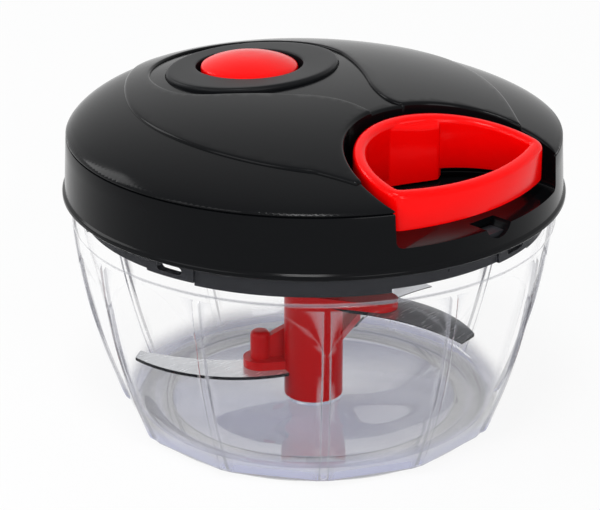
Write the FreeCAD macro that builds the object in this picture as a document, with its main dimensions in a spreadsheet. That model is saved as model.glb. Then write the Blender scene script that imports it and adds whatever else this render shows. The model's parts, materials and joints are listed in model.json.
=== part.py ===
import FreeCAD, Part
import math
import os
import re
import Sketcher
from FreeCAD import Placement, Rotation, Vector

# Pull-string food chopper, in millimetres, standing on Z = 0 with the bowl's axis on Z.
# The handle pulls out towards -Y and the button lies towards +Y.

SIZES = [
    # Clearances
    ("fit_gap", 0.05, "radial clearance of a shaft in its bore"),
    ("slide_gap", 0.1, "clearance on each side of a sliding fit"),
    ("seat_gap", 0.3, "gap between pieces that seat on each other and move"),
    # Bowl
    ("foot_inner_r", 41, "inner radius of the foot ring"),
    ("foot_outer_r", 46, "outer radius of the foot ring"),
    ("foot_rise", 0.6, "rise of the underside inside the foot ring"),
    ("corner_r", 49, "radius where the side of the bowl starts"),
    ("corner_z", 1.5, "height where the side of the bowl starts"),
    ("rim_band", 0.6, "how far the rim band stands out from the side"),
    ("step_z", 55.6, "height of the step below the rim band"),
    ("side_bulge_r", 158, "radius of the side's curve in profile"),
    ("side_lean", 0.155, "how fast the side narrows below the rim band"),
    ("rim_r", 63.4, "outer radius of the rim band"),
    ("rim_wall", 1.9, "wall of the rim band"),
    ("rim_z", 66, "height of the bowl"),
    ("inner_low_r", 49.2, "inner radius at the foot of the side"),
    ("inner_low_z", 8, "height of the foot of the inner side"),
    ("inner_bulge_r", 600, "radius of the inner side's curve in profile"),
    ("floor_edge_r", 45, "radius where the floor turns up"),
    ("floor_edge_bend_r", 5.6, "radius of the turn from floor to side"),
    ("floor_step_r", 42.5, "radius of the outer step of the floor"),
    ("floor_ring_r", 38.5, "radius of the inner step of the floor"),
    ("floor_z", 2.6, "height of the floor's middle"),
    ("floor_step", 0.5, "height of each step of the floor"),
    ("boss_r", 7.5, "radius of the boss round the pin"),
    ("boss_z", 3.4, "height of the boss round the pin"),
    ("panel_count", 12, "number of flat panels and of ribs"),
    ("panel_ratio", 0.975, "panel distance over bowl radius"),
    ("arch_foot_z", 42, "height where the panel's arch starts"),
    ("arch_top_z", 54.6, "height of the top of the panel's arch"),
    ("rib_turn", 18.8, "angle of the first rib"),
    ("rib_r", 1.15, "radius of a rib's bead"),
    ("rib_low_z", 3.4, "height of a rib's lower end"),
    ("rib_top_z", 53.2, "height of a rib's upper end"),
    # Blade rotor
    ("pin_r", 2, "radius of the pivot pin"),
    ("pin_low_z", 0.8, "height of the pivot pin's lower end"),
    ("pin_top_z", 16, "height of the pivot pin's upper end"),
    ("shaft_r", 7.9, "radius of the blade shaft"),
    ("shaft_top_z", 59.8, "height of the shaft's shoulder"),
    ("drive_flats", 8.5, "width across flats of the drive end"),
    ("drive_top_z", 66.8, "height of the drive end"),
    ("blade_thick", 0.9, "thickness of a blade"),
    ("blade_tip_r", 48.8, "radius that the blades sweep"),
    ("blade_spine_r", 37, "radius of the blade's back edge"),
    ("blade_edge_r", 52, "radius of the blade's cutting edge"),
    ("tang_low_r", 3.6, "inner end of a blade in the shaft"),
    ("lower_blade_z", 10, "height of the lower blade"),
    ("middle_blade_z", 19, "height of the middle blade"),
    ("upper_blade_z", 31.4, "height of the upper blade"),
    ("lower_blade_turn", 145.8, "angle of the lower blade"),
    ("middle_blade_turn", 25.8, "angle of the middle blade"),
    ("upper_blade_turn", -60.2, "angle of the upper blade"),
    ("arm_long", 18.6, "reach of the lower arms"),
    ("upper_arm_long", 24, "reach of the upper arm"),
    ("arm_y", -3.6, "how far an arm's middle lies before the blade's axis"),
    ("arm_half", 4.7, "half the width of an arm"),
    ("arm_thick", 2.4, "thickness of an arm"),
    ("rivet_r", 1.5, "radius of the stud that holds a blade"),
    ("rivet_at", 10.6, "distance of the stud from the axis"),
    ("bevel_at", 17, "distance from the axis where the bevel starts"),
    ("bevel_wide", 6, "width of a blade's ground bevel"),
    ("bevel_deep", 0.65, "depth of a blade's ground bevel"),
    ("peg_r", 2.65, "radius of the peg"),
    ("peg_at", 14, "distance of the peg from the axis"),
    ("peg_top_z", 21, "height of the peg"),
    ("gusset_thick", 2.4, "thickness of the rib behind the peg"),
    # Lid base
    ("plate_z", 60.3, "underside of the inner cover's plate"),
    ("plate_thick", 2, "thickness of the inner cover's plate"),
    ("spigot_gap", 0.5, "clearance of the spigot in the rim"),
    ("spigot_wall", 1.8, "wall of the spigot"),
    ("spigot_z", 57.2, "lower edge of the spigot"),
    ("flange_over", 0.2, "how far the inner cover's flange stands out over the rim"),
    ("flange_thick", 1.7, "thickness of the inner cover's flange"),
    ("collar_wall", 1.9, "wall of the collar round the driver"),
    ("collar_top_z", 66.3, "height of the collar"),
    ("tab_count", 4, "number of bayonet tabs"),
    ("tab_turn", 184, "angle of a tab's start"),
    ("tab_angle", 13.5, "angle that a tab takes"),
    ("tab_raise", 0.45, "how far a tab stands out"),
    ("tab_z", 58, "lower edge of a tab"),
    ("tab_top_z", 63, "upper edge of a tab"),
    ("slot_wide", 7.6, "length of a tab's slot"),
    ("slot_tall", 2, "height of a tab's slot"),
    ("slot_z", 60.15, "height of the slot's middle"),
    ("notch_turn", 153.8, "angle where the notch before a tab starts"),
    ("notch_z", 60.9, "upper edge of the notch before a tab"),
    ("lug_turn", 168.5, "angle of a lug's start"),
    ("lug_angle", 7.5, "angle that a lug takes"),
    ("lug_z", 59.9, "lower edge of a lug"),
    ("screw_count", 3, "number of lid screws"),
    ("screw_at", 50, "distance of the lid screws from the axis"),
    ("screw_turn", -30, "angle of the first lid screw"),
    ("screw_r", 1.4, "radius of a screw's shank"),
    ("screw_head_r", 3, "radius of a screw's head"),
    ("screw_head", 1.8, "height of a screw's head"),
    ("screw_long", 11, "length of a lid screw's shank"),
    ("post_r", 4, "radius of the posts in the lid"),
    # Lid shell
    ("skirt_z", 63.3, "lower edge of the skirt"),
    ("lip_out", 0.65, "how far the skirt's lip stands out"),
    ("lip_tall", 0.9, "height of the skirt's lip"),
    ("skirt_wall", 1.15, "wall of the skirt beside the rim"),
    ("shoulder_in", 0.75, "how far the skirt leans in up to the shoulder"),
    ("shoulder_z", 79.5, "height of the shoulder"),
    ("groove_deep", 0.5, "depth of the groove at the shoulder"),
    ("cavity_wall", 2.1, "wall of the cover above the flange"),
    ("dome_rise", 11.2, "height of the dome over the shoulder"),
    ("dome_lean", 8.85, "how far the dome's top leans to the button"),
    ("dome_belly", 2.5, "power that sets how flat the dome's middle is"),
    ("dome_edge", 1.37, "power that sets how round the dome's edge is"),
    ("dome_skew", 4.3, "power that sets where the dome leans"),
    ("dome_wall", 2.2, "wall of the dome"),
    ("panel_raise", 0.7, "how far the raised panels stand above the dome"),
    ("pocket_y", -52.5, "middle of the handle's pocket"),
    ("pocket_r", 30, "radius of the handle's pocket"),
    ("pocket_z", 70, "floor of the handle's pocket"),
    ("pocket_wall", 2, "wall of the handle's pocket"),
    ("dip_r", 4.7, "radius of the dip in the pocket's lip"),
    ("dip_deep", 3, "depth of the dip in the pocket's lip"),
    ("dip_long", 6.5, "how far the dip runs into the pocket's floor"),
    ("spool_post_z", 73.7, "lower end of the spool's post"),
    # Button
    ("button_y", 24.6, "middle of the button and its well"),
    ("bezel_mid_y", 23.4, "middle of the bezel"),
    ("bezel_x", 24.4, "half length of the bezel"),
    ("bezel_y", 21, "half width of the bezel"),
    ("bezel_raise", 1.2, "how far the bezel stands above the dome"),
    ("bezel_seat_z", 87.4, "height of the bezel's seat"),
    ("seat_thick", 1.8, "thickness of the cover under the bezel"),
    ("well_r", 14.2, "radius of the well round the button"),
    ("well_wall", 1.2, "wall of the well"),
    ("well_z", 85.4, "floor of the well"),
    ("well_floor", 1, "thickness of the well's floor"),
    ("button_r", 12.9, "radius of the button"),
    ("button_low_z", 88, "lower edge of the button"),
    ("button_rim_z", 92.3, "height of the button's rim"),
    ("button_top_z", 93.7, "height of the button's top"),
    ("button_wall", 1.5, "wall of the button"),
    ("stem_r", 2.4, "radius of the button's stem"),
    ("stem_head_r", 3.2, "radius of the snap head under the well"),
    ("stem_head", 1.2, "height of the snap head"),
    ("coil_r", 4.2, "mean radius of the button's spring"),
    ("coil_wire_r", 0.25, "radius of the button spring's wire"),
    ("coil_turns", 5, "turns of the button's spring"),
    # Spool
    ("spool_z", 74, "underside of the spool's web"),
    ("web_thick", 1.4, "thickness of the spool's web and lower flange"),
    ("groove_tall", 6.6, "height between the spool's flanges"),
    ("top_flange", 1.2, "thickness of the upper flange"),
    ("spool_r", 17.8, "radius of the flanges"),
    ("drum_r", 12.4, "radius of the drum under the cord"),
    ("drum_wall", 1.4, "wall of the drum"),
    ("cover_thick", 0.8, "thickness of the spring cover"),
    ("washer_r", 6.5, "radius of the washer"),
    ("washer_thick", 0.8, "thickness of the washer"),
    ("spool_screw_long", 9, "length of the spool screw's shank"),
    ("ratchet_r", 12.6, "outer radius of the ratchet ring"),
    ("ratchet_root_r", 11.3, "radius at the foot of the ratchet's teeth"),
    ("ratchet_tip_r", 9.7, "radius at the tips of the ratchet's teeth"),
    ("ratchet_z", 69.6, "lower edge of the ratchet ring"),
    ("tooth_count", 12, "number of ratchet teeth"),
    # Driver
    ("hub_low_z", 60.8, "lower edge of the driver"),
    ("hub_r", 7.5, "radius of the driver in its collar"),
    ("socket_deep", 6.8, "depth of the driver's socket"),
    ("hub_flange_r", 9.2, "radius of the driver's flange"),
    ("hub_top_z", 69.2, "height of the driver's flange"),
    ("pawl_pin_r", 0.9, "radius of a pawl's pin"),
    ("pawl_pin_at", 6.8, "distance of a pawl's pin from the axis"),
    ("pawl_turn", -42, "angle from a pawl's tip to its pin"),
    ("pawl_thick", 2.6, "thickness of a pawl"),
    ("pawl_half", 1.0, "half the width of a pawl"),
    ("pawl_tip_r", 9.5, "distance of a pawl's tip from the axis"),
    # Spiral spring
    ("strip_thick", 0.3, "thickness of the spiral spring's strip"),
    ("strip_tall", 5, "height of the spiral spring's strip"),
    ("strip_turns", 5, "turns of the spiral spring"),
    # Cord
    ("cord_r", 0.9, "radius of the cord"),
    ("cord_layer_r", 14.9, "radius of the cord's outer layer"),
    ("cord_pitch", 2.35, "rise of each turn of the outer layer"),
    ("cord_turns", 1.75, "turns of the outer layer"),
    ("cord_turn", 20, "angle between the cord and the handle's pull"),
    ("guide_r", 2.3, "radius of the cord guide in the wall"),
    ("guide_bore_r", 1.2, "radius of the cord guide's bore"),
    ("guide_flange_r", 3.3, "radius of the cord guide's flange"),
    ("guide_flange", 0.8, "thickness of the cord guide's flange"),
    ("knot_r", 1.8, "radius of the knot"),
    # Handle
    ("handle_back_r", 27.8, "radius of the ring's back"),
    ("handle_front_r", 61.5, "distance of the ring's front from the axis"),
    ("handle_wall", 2.5, "wall of the ring"),
    ("handle_z", 73, "lower edge of the ring"),
    ("handle_top_z", 82.3, "height of the ring's front"),
    ("handle_top_y", -58, "place of the ring's front height"),
    ("handle_tilt", 7.4, "slope of the ring's top in degrees"),
    ("handle_corner_r", 4, "radius of the ring's front corners"),
    ("handle_bead_r", 1.1, "radius of the ring's rounded edges"),
    ("block_left_x", -6.5, "left end of the cord block"),
    ("block_right_x", 14.5, "right end of the cord block"),
    ("block_nose_x", 11.5, "corner of the cord block"),
    ("block_nose_y", -33.5, "corner of the cord block"),
    ("block_top_z", 85.4, "height of the cord block"),
]

doc = FreeCAD.newDocument("PullStringChopper")
sheet = doc.addObject("Spreadsheet::Sheet", "Sizes")
for row, (alias, number, meaning) in enumerate(SIZES, start=1):
    sheet.set("A%d" % row, alias)
    sheet.set("B%d" % row, str(number))
    sheet.set("C%d" % row, meaning)
    sheet.setAlias("B%d" % row, alias)
doc.recompute()

NAMES = {alias for alias, number, meaning in SIZES}
# Radii that follow from the bowl's rim outwards.
DERIVED = {
    "step_r": "rim_r - rim_band",
    "spigot_r": "rim_r - rim_wall - spigot_gap",
    "flange_r": "rim_r + flange_over",
    "skirt_inner_r": "flange_r + seat_gap",
    "skirt_r": "skirt_inner_r + skirt_wall",
    "lip_r": "skirt_r + lip_out",
    "shoulder_r": "skirt_r - shoulder_in",
    "cavity_r": "shoulder_r - cavity_wall",
}
SUBPARTS = []


def linked(text):
    """An expression with derived sizes written out and every size name pointed at the sheet."""
    def spelled(match):
        if match[0] in DERIVED:
            return "(%s)" % linked(DERIVED[match[0]])
        return "Sizes." + match[0] if match[0] in NAMES else match[0]
    return re.sub(r"[a-z][a-z_0-9]*", spelled, str(text))


def size(text):
    """The number that an expression of size names gives now."""
    value = sheet.evalExpression(linked(text))
    return float(getattr(value, "Value", value))


def bind(item, prop, text):
    item.setExpression(prop, linked(text))


def place(item, x="0", y="0", z="0"):
    bind(item, "Placement.Base.x", x)
    bind(item, "Placement.Base.y", y)
    bind(item, "Placement.Base.z", z)


def name_subpart(item, label):
    item.Label = label
    SUBPARTS.append(item)
    return item


# Sketches and bodies

def new_body(name):
    return doc.addObject("PartDesign::Body", name)


def new_sketch(body, name, role="XY_Plane", height="0"):
    sketch = body.newObject("Sketcher::SketchObject", name)
    plane = [item for item in body.Origin.OriginFeatures if item.Role == role][0]
    sketch.AttachmentSupport = (plane, "")
    sketch.MapMode = "FlatFace"
    bind(sketch, "AttachmentOffset.Base.z", height)
    return sketch


def arc_between(start, end, radius):
    """Arc of under half a circle; a positive radius turns left on the way."""
    chord = end - start
    middle = (start + end) * 0.5
    left = Vector(-chord.y, chord.x, 0).normalize()
    reach = math.sqrt(radius ** 2 - (chord.Length / 2) ** 2)
    centre = middle + left * math.copysign(reach, radius)
    first, last = (start, end) if radius > 0 else (end, start)
    angles = [math.atan2(point.y - centre.y, point.x - centre.x) for point in (first, last)]
    if angles[1] < angles[0]:
        angles[1] += 2 * math.pi
    circle = Part.Circle(centre, Vector(0, 0, 1), abs(radius))
    return Part.ArcOfCircle(circle, angles[0], angles[1])


def outline(sketch, steps):
    """Closed outline. Each step is (x, y), or (x, y, radius) where an arc leads to it."""
    points = [Vector(size(step[0]), size(step[1]), 0) for step in steps]
    ends = []
    for number, step in enumerate(steps):
        start, end = points[number - 1], points[number]
        if len(step) == 3:
            radius = size(step[2])
            edge = sketch.addGeometry(arc_between(start, end, radius))
            tips = (1, 2) if radius > 0 else (2, 1)
            index = sketch.addConstraint(Sketcher.Constraint("Radius", edge, abs(radius)))
            sketch.setExpression("Constraints[%d]" % index, "abs(%s)" % linked(step[2]))
        else:
            edge = sketch.addGeometry(Part.LineSegment(start, end))
            tips = (1, 2)
        ends.append((edge, tips[0], tips[1]))
    for number, step in enumerate(steps):
        edge, first, last = ends[number]
        following = ends[(number + 1) % len(steps)]
        sketch.addConstraint(Sketcher.Constraint("Coincident", edge, last, following[0], following[1]))
        for kind, text, number_now in (("DistanceX", step[0], points[number].x),
                                       ("DistanceY", step[1], points[number].y)):
            index = sketch.addConstraint(Sketcher.Constraint(kind, -1, 1, edge, last, number_now))
            sketch.setExpression("Constraints[%d]" % index, linked(text))
    return sketch


def ring_sketch(sketch, radius, x="0", y="0"):
    """One circle on a sketch."""
    circle = Part.Circle(Vector(size(x), size(y), 0), Vector(0, 0, 1), size(radius))
    edge = sketch.addGeometry(circle)
    for kind, text in (("Radius", radius), ("DistanceX", x), ("DistanceY", y)):
        if kind == "Radius":
            index = sketch.addConstraint(Sketcher.Constraint(kind, edge, size(text)))
        else:
            index = sketch.addConstraint(Sketcher.Constraint(kind, -1, 1, edge, 3, size(text)))
        sketch.setExpression("Constraints[%d]" % index, linked(text))
    return sketch


def revolve(body, name, steps, groove=False):
    """Turn an outline of (radius, height) points round the body's axis."""
    sketch = outline(new_sketch(body, name + "Profile", "XZ_Plane"), steps)
    kind = "PartDesign::Groove" if groove else "PartDesign::Revolution"
    turned = body.newObject(kind, name)
    turned.Profile = sketch
    turned.ReferenceAxis = (sketch, ["V_Axis"])
    turned.Angle = 360
    return turned


def pad(body, name, sketch, tall):
    grown = body.newObject("PartDesign::Pad", name)
    grown.Profile = sketch
    bind(grown, "Length", tall)
    return grown


def pocket(body, name, sketch, deep, upwards=True):
    """Cut from the sketch upwards, or downwards."""
    cut = body.newObject("PartDesign::Pocket", name)
    cut.Profile = sketch
    cut.Reversed = upwards
    bind(cut, "Length", deep)
    return cut


def pattern(body, name, features, count, turn="360"):
    """Repeat features round the body's axis."""
    turned = body.newObject("PartDesign::PolarPattern", name)
    turned.Originals = features
    axis = [item for item in body.Origin.OriginFeatures if item.Role == "Z_Axis"][0]
    turned.Axis = (axis, [""])
    turned.Angle = 360
    bind(turned, "Occurrences", count)
    body.Tip = turned
    return turned


# Primitives and booleans

def cylinder(name, radius, tall, x="0", y="0", z="0"):
    item = doc.addObject("Part::Cylinder", name)
    bind(item, "Radius", radius)
    bind(item, "Height", tall)
    place(item, x, y, z)
    return item


def box(name, long, wide, tall, x="0", y="0", z="0"):
    item = doc.addObject("Part::Box", name)
    bind(item, "Length", long)
    bind(item, "Width", wide)
    bind(item, "Height", tall)
    place(item, x, y, z)
    return item


def cut(name, base, tool):
    item = doc.addObject("Part::Cut", name)
    item.Base = base
    item.Tool = tool
    return item


def fuse(name, items):
    item = doc.addObject("Part::MultiFuse", name)
    item.Shapes = items
    return item


def common(name, items):
    item = doc.addObject("Part::Common", name)
    item.Base = items[0]
    item.Tool = items[1]
    return item


def aim(item, turn, tilt="0"):
    """Turn a placed object about Z, after a tilt about its own Y."""
    spin = Rotation(Vector(0, 0, 1), size(turn)).multiply(Rotation(Vector(0, 1, 0), size(tilt)))
    item.Placement.Rotation = spin
    return item


# Bowl

def make_bowl():
    body = new_body("BowlBody")
    revolve(body, "BowlWall", [
        ("0", "foot_rise"),
        ("foot_inner_r", "foot_rise"),
        ("foot_inner_r", "0"),
        ("foot_outer_r", "0"),
        ("corner_r", "corner_z", "corner_z * 3"),
        ("step_r", "step_z", "side_bulge_r"),
        ("rim_r", "step_z + rim_r - step_r"),
        ("rim_r", "rim_z"),
        ("rim_r - rim_wall", "rim_z"),
        ("rim_r - rim_wall", "step_z + rim_wall"),
        ("inner_low_r", "inner_low_z", "-inner_bulge_r"),
        ("floor_edge_r", "floor_z + 2 * floor_step", "-floor_edge_bend_r"),
        ("floor_step_r", "floor_z + 2 * floor_step"),
        ("floor_step_r", "floor_z + floor_step"),
        ("floor_ring_r", "floor_z + floor_step"),
        ("floor_ring_r", "floor_z"),
        ("boss_r", "floor_z"),
        ("boss_r", "boss_z"),
        ("0", "boss_z"),
    ])
    well = ring_sketch(new_sketch(body, "PinHoleSketch", height="pin_low_z"), "pin_r")
    pocket(body, "PinHole", well, "pin_top_z", upwards=True)
    return body


def make_panel_cutter():
    """Everything outside one flat panel whose top runs out in an arch."""
    body = new_body("PanelCutterBody")
    reach = "rim_r * tan(180 / panel_count)"
    sketch = outline(new_sketch(body, "PanelCutterSketch", "XZ_Plane", "-" + reach), [
        ("rim_r * 2", "-rim_z"),
        ("rim_r * 2", "arch_top_z"),
        ("step_r", "arch_top_z"),
        ("(step_r - (step_z - arch_foot_z) * side_lean) * panel_ratio", "arch_foot_z"),
        ("corner_r * panel_ratio", "corner_z", "-side_bulge_r"),
        ("corner_r * panel_ratio - rib_r * 2", "-rim_z"),
    ])
    pad(body, "PanelCutter", sketch, "2 * " + reach)
    return body


def make_rib():
    """One round bead up the corner between two panels, with rounded ends."""
    start = Vector(size("corner_r"), 0, size("corner_z"))
    end = Vector(size("step_r"), 0, size("step_z"))
    arc = arc_between(Vector(start.x, start.z, 0), Vector(end.x, end.z, 0), size("side_bulge_r"))
    side = arc.toShape()
    low = plane_hit(side, size("rib_low_z"))
    high = plane_hit(side, size("rib_top_z"))
    middle = plane_hit(side, (size("rib_low_z") + size("rib_top_z")) / 2)
    points = [Vector(point.x, 0, point.y) for point in (low, middle, high)]
    path = Part.Arc(points[0], points[1], points[2])
    spine = Part.Wire([path.toShape()])
    ring = Part.Wire([Part.Circle(points[0], path.tangent(path.FirstParameter)[0], size("rib_r")).toShape()])
    bead = spine.makePipeShell([ring], True, False)
    ends = [Part.makeSphere(size("rib_r"), point) for point in (points[0], points[2])]
    return bead.fuse(ends).removeSplitter()


def plane_hit(edge, tall):
    """Point of a profile edge at one height."""
    line = Part.makeLine(Vector(0, tall, 0), Vector(size("rim_r") * 2, tall, 0))
    return edge.distToShape(line)[1][0][0]


def make_bowl_assembly():
    body = make_bowl()
    doc.recompute()
    cutter = make_panel_cutter()
    doc.recompute()
    count = int(size("panel_count"))
    step = 360.0 / count
    shape = body.Shape.copy()
    tool = cutter.Shape.copy()
    bead = make_rib()
    cutters = []
    beads = []
    for number in range(count):
        turn = size("rib_turn") + number * step
        one = tool.copy()
        one.rotate(Vector(0, 0, 0), Vector(0, 0, 1), turn + step / 2)
        cutters.append(one)
        other = bead.copy()
        other.rotate(Vector(0, 0, 0), Vector(0, 0, 1), turn)
        beads.append(other)
    shape = shape.cut(cutters).fuse(beads).removeSplitter()
    bowl = doc.addObject("Part::Feature", "Bowl")
    bowl.Shape = shape
    name_subpart(bowl, "bowl")


# Shared shapes

DOME_STEPS = [1, 0.995, 0.982, 0.96, 0.925, 0.875, 0.81, 0.73, 0.63, 0.51, 0.37, 0.2, 0.02]

# Plan of the raised panels' border and of the valley between them, each edge
# as the point it leads to and its radius; both close inside the handle's pocket.
BORDER = [(-30.4, -45), (-45.9, 0, -142), (-14.5, 54.5, -66), (24, 54, -42),
          (52.6, 1, -55), (35.8, -36.2, -105), (29, -46)]
VALLEY = [(-3, -31), (-2.3, -11.8, -110), (-21, 12.5, 60), (-25.6, 30.5, -27), (0.4, 50.7, -26.7),
          (26.4, 30.5, -26.7), (24.5, 13.5, -27), (9.6, -13, 62), (12, -31, 50)]


def dome(name, lift="0", shrink="0"):
    """Leaning dome, lofted through circles from the shoulder to the top."""
    rings = []
    for number, part in enumerate(DOME_STEPS):
        ring = doc.addObject("Part::Circle", "%sRing%d" % (name, number))
        bind(ring, "Radius", "(shoulder_r - %s) * %s" % (shrink, part))
        rise = "dome_rise * (1 - %s ^ dome_belly) ^ (1 / dome_edge)" % part
        place(ring, "0", "dome_lean * (1 - %s ^ dome_skew)" % part, "shoulder_z + %s + %s" % (lift, rise))
        rings.append(ring)
    loft = doc.addObject("Part::Loft", name)
    loft.Sections = rings
    loft.Solid = True
    loft.Ruled = True
    return loft


def oval(name, long, wide, tall, y="0", z="0"):
    """Upright oval block."""
    ring = doc.addObject("Part::Ellipse", name + "Ring")
    bind(ring, "MajorRadius", long)
    bind(ring, "MinorRadius", wide)
    place(ring, "0", y, z)
    block = doc.addObject("Part::Extrusion", name)
    block.Base = ring
    block.DirMode = "Custom"
    block.Dir = Vector(0, 0, 1)
    block.Solid = True
    bind(block, "LengthFwd", tall)
    return block


def sector(name, inner, outer, low, high, start, sweep):
    """Ring sector between two radii and two heights."""
    whole = cylinder(name + "Outer", outer, "%s - (%s)" % (high, low), z=low)
    bind(whole, "Angle", sweep)
    aim(whole, start)
    core = cylinder(name + "Inner", inner, "%s - (%s) + 2" % (high, low), z="%s - 1" % low)
    return cut(name, whole, core)


def rod(name, radius, tall, start, along):
    """Round bar from a point in a direction."""
    bar = doc.addObject("Part::Cylinder", name)
    bind(bar, "Radius", radius)
    bind(bar, "Height", tall)
    bar.Placement = Placement(start, Rotation(Vector(0, 0, 1), along))
    return bar


def arc_from(start, along, end):
    """Arc from a point, with the direction there, to another point."""
    chord = end - start
    unit = Vector(chord).normalize()
    side = along - unit * along.dot(unit)
    if side.Length < 1e-9:
        return Part.LineSegment(start, end)
    quarter = math.acos(max(-1, min(1, along.dot(unit)))) / 2
    middle = start + chord * 0.5 + side.normalize() * (chord.Length / 2 * math.tan(quarter))
    return Part.Arc(start, middle, end)


def coil(radius, wire, low, pitch, turns, end_turn, way):
    """Round wire wound on a drum, as one tube along pairs of tangent arcs."""
    steps = max(4, int(round(turns * 4)))
    points = []
    for number in range(steps + 1):
        left = turns * (1 - number / steps)
        turn = math.radians(end_turn - way * 360 * left)
        slope = pitch / (2 * math.pi)
        spot = Vector(radius * math.cos(turn), radius * math.sin(turn), low + pitch * (turns - left))
        along = Vector(-radius * math.sin(turn) * way, radius * math.cos(turn) * way, slope).normalize()
        points.append((spot, along))
    edges = []
    for (start, first), (end, last) in zip(points, points[1:]):
        chord = end - start
        both = first + last
        bend = 2 * (1 - first.dot(last))
        reach = (-chord.dot(both) + math.sqrt(chord.dot(both) ** 2 + bend * chord.dot(chord))) / bend
        joint = (start + first * reach + end - last * reach) * 0.5
        lead = arc_from(start, first, joint)
        edges.append(lead.toShape())
        edges.append(arc_from(end, last * -1, joint).toShape())
    path = Part.Wire(Part.__sortEdges__(edges))
    ring = Part.Wire([Part.Circle(points[0][0], points[0][1], wire).toShape()])
    return path.makePipeShell([ring], True, False), points


def feature(name, shape):
    item = doc.addObject("Part::Feature", name)
    item.Shape = shape
    return item


# Blade rotor

def blade_body(name, height, grow="0"):
    """Curved blade pointing along X: back edge towards +Y, ground edge towards -Y."""
    body = new_body(name + "Body")
    sketch = outline(new_sketch(body, name + "Sketch", height="%s - %s" % (height, grow)), [
        ("tang_low_r - %s" % grow, "-5.4 - %s" % grow),
        ("12", "arm_y - arm_half - %s" % grow),
        ("blade_tip_r * cos(23.2)", "-blade_tip_r * sin(23.2) - %s" % grow, "-blade_edge_r"),
        ("blade_tip_r * cos(16.2)", "-blade_tip_r * sin(16.2) + %s" % grow, "blade_tip_r"),
        ("6", "3 + %s" % grow, "blade_spine_r"),
        ("tang_low_r - %s" % grow, "3 + %s" % grow),
    ])
    pad(body, name + "Plate", sketch, "blade_thick + 2 * %s" % grow)
    if grow != "0":
        return body
    hole = new_sketch(body, name + "HoleSketch", height=height)
    ring_sketch(hole, "rivet_r + fit_gap", "rivet_at", "arm_y")
    pocket(body, name + "Hole", hole, "blade_thick")
    start = Vector(12, size("arm_y - arm_half"), 0)
    end = Vector(size("blade_tip_r * cos(23.2)"), size("-blade_tip_r * sin(23.2)"), 0)
    centre = arc_between(start, end, -size("blade_edge_r")).Center
    wedge = doc.addObject("Part::Cone", name + "Wedge")
    bind(wedge, "Radius1", "blade_edge_r")
    bind(wedge, "Radius2", "blade_edge_r + bevel_wide * 1.5")
    bind(wedge, "Height", "bevel_deep * 1.5")
    place(wedge, str(centre.x), str(centre.y), "%s + blade_thick - bevel_deep" % height)
    beyond = box(name + "Beyond", "blade_tip_r", "blade_tip_r * 2", "10",
                 "bevel_at", "-blade_tip_r", "%s - 2" % height)
    return cut(name, body, common(name + "Bevel", [wedge, beyond]))


def peg_body(name):
    body = new_body(name + "Body")
    low = "lower_blade_z + blade_thick"
    revolve(body, name, [("0", low), ("peg_r", low), ("peg_r", "peg_top_z - peg_r / 2"),
                         ("peg_r / 2", "peg_top_z", "peg_r / 2"), ("0", "peg_top_z")])
    return body


def gusset_body(name):
    body = new_body(name + "Body")
    low = "lower_blade_z + blade_thick + 1"
    sketch = outline(new_sketch(body, name + "Sketch", "XZ_Plane", "-gusset_thick / 2"), [
        ("1", low), ("peg_at", low), ("peg_at", "peg_top_z - peg_r"), ("shaft_r - 1", "peg_top_z + 1"),
        ("1", "peg_top_z + 1")])
    pad(body, name, sketch, "gusset_thick")
    return body


def make_rotor():
    blades = [("lower", "lower_blade_z", "lower_blade_turn", "arm_long"),
              ("middle", "middle_blade_z", "middle_blade_turn", "arm_long"),
              ("upper", "upper_blade_z", "upper_blade_turn", "upper_arm_long")]
    solids = [cylinder("ShaftColumn", "shaft_r", "shaft_top_z - boss_z - seat_gap", z="boss_z + seat_gap")]
    drive = doc.addObject("Part::Prism", "DriveEnd")
    drive.Polygon = 6
    bind(drive, "Circumradius", "drive_flats / 2 / cos(30)")
    bind(drive, "Height", "drive_top_z - shaft_top_z + 1")
    place(drive, z="shaft_top_z - 1")
    solids.append(drive)
    slots = [cylinder("PinBore", "pin_r + fit_gap", "pin_top_z + 1")]
    studs = []
    for name, height, turn, reach in blades:
        title = name.title()
        blade = blade_body(title + "Blade", height)
        aim(blade, turn)
        name_subpart(blade, "blade_" + name)
        slot = blade_body(title + "Slot", height, "fit_gap")
        aim(slot, turn)
        slots.append(slot)
        floor = "%s + blade_thick" % height
        arm = box(title + "Arm", "%s - arm_half" % reach, "2 * arm_half", "arm_thick",
                  "0", "arm_y - arm_half", floor)
        nose = cylinder(title + "Nose", "arm_half", "arm_thick", "%s - arm_half" % reach, "arm_y", floor)
        studs.append(cylinder(title + "Stud", "rivet_r", "blade_thick + 1.5",
                              "rivet_at * cos(%s) - arm_y * sin(%s)" % (turn, turn),
                              "rivet_at * sin(%s) + arm_y * cos(%s)" % (turn, turn), "%s - 0.5" % height))
        pieces = [arm, nose]
        if name == "lower":
            peg = peg_body("Peg")
            place(peg, "peg_at", "arm_y", "0")
            gusset = gusset_body("Gusset")
            place(gusset, "0", "arm_y", "0")
            pieces += [peg, gusset]
        group = fuse(title + "ArmGroup", pieces)
        aim(group, turn)
        solids.append(group)
    body = fuse("RotorSolid", solids)
    hollow = fuse("RotorSlots", slots)
    slotted = cut("RotorSlotted", body, hollow)
    name_subpart(fuse("BladeShaft", [slotted] + studs), "blade_shaft")
    pin = cylinder("PivotPin", "pin_r", "pin_top_z - pin_low_z", z="pin_low_z")
    name_subpart(pin, "pivot_pin")


# Inner cover

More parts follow.
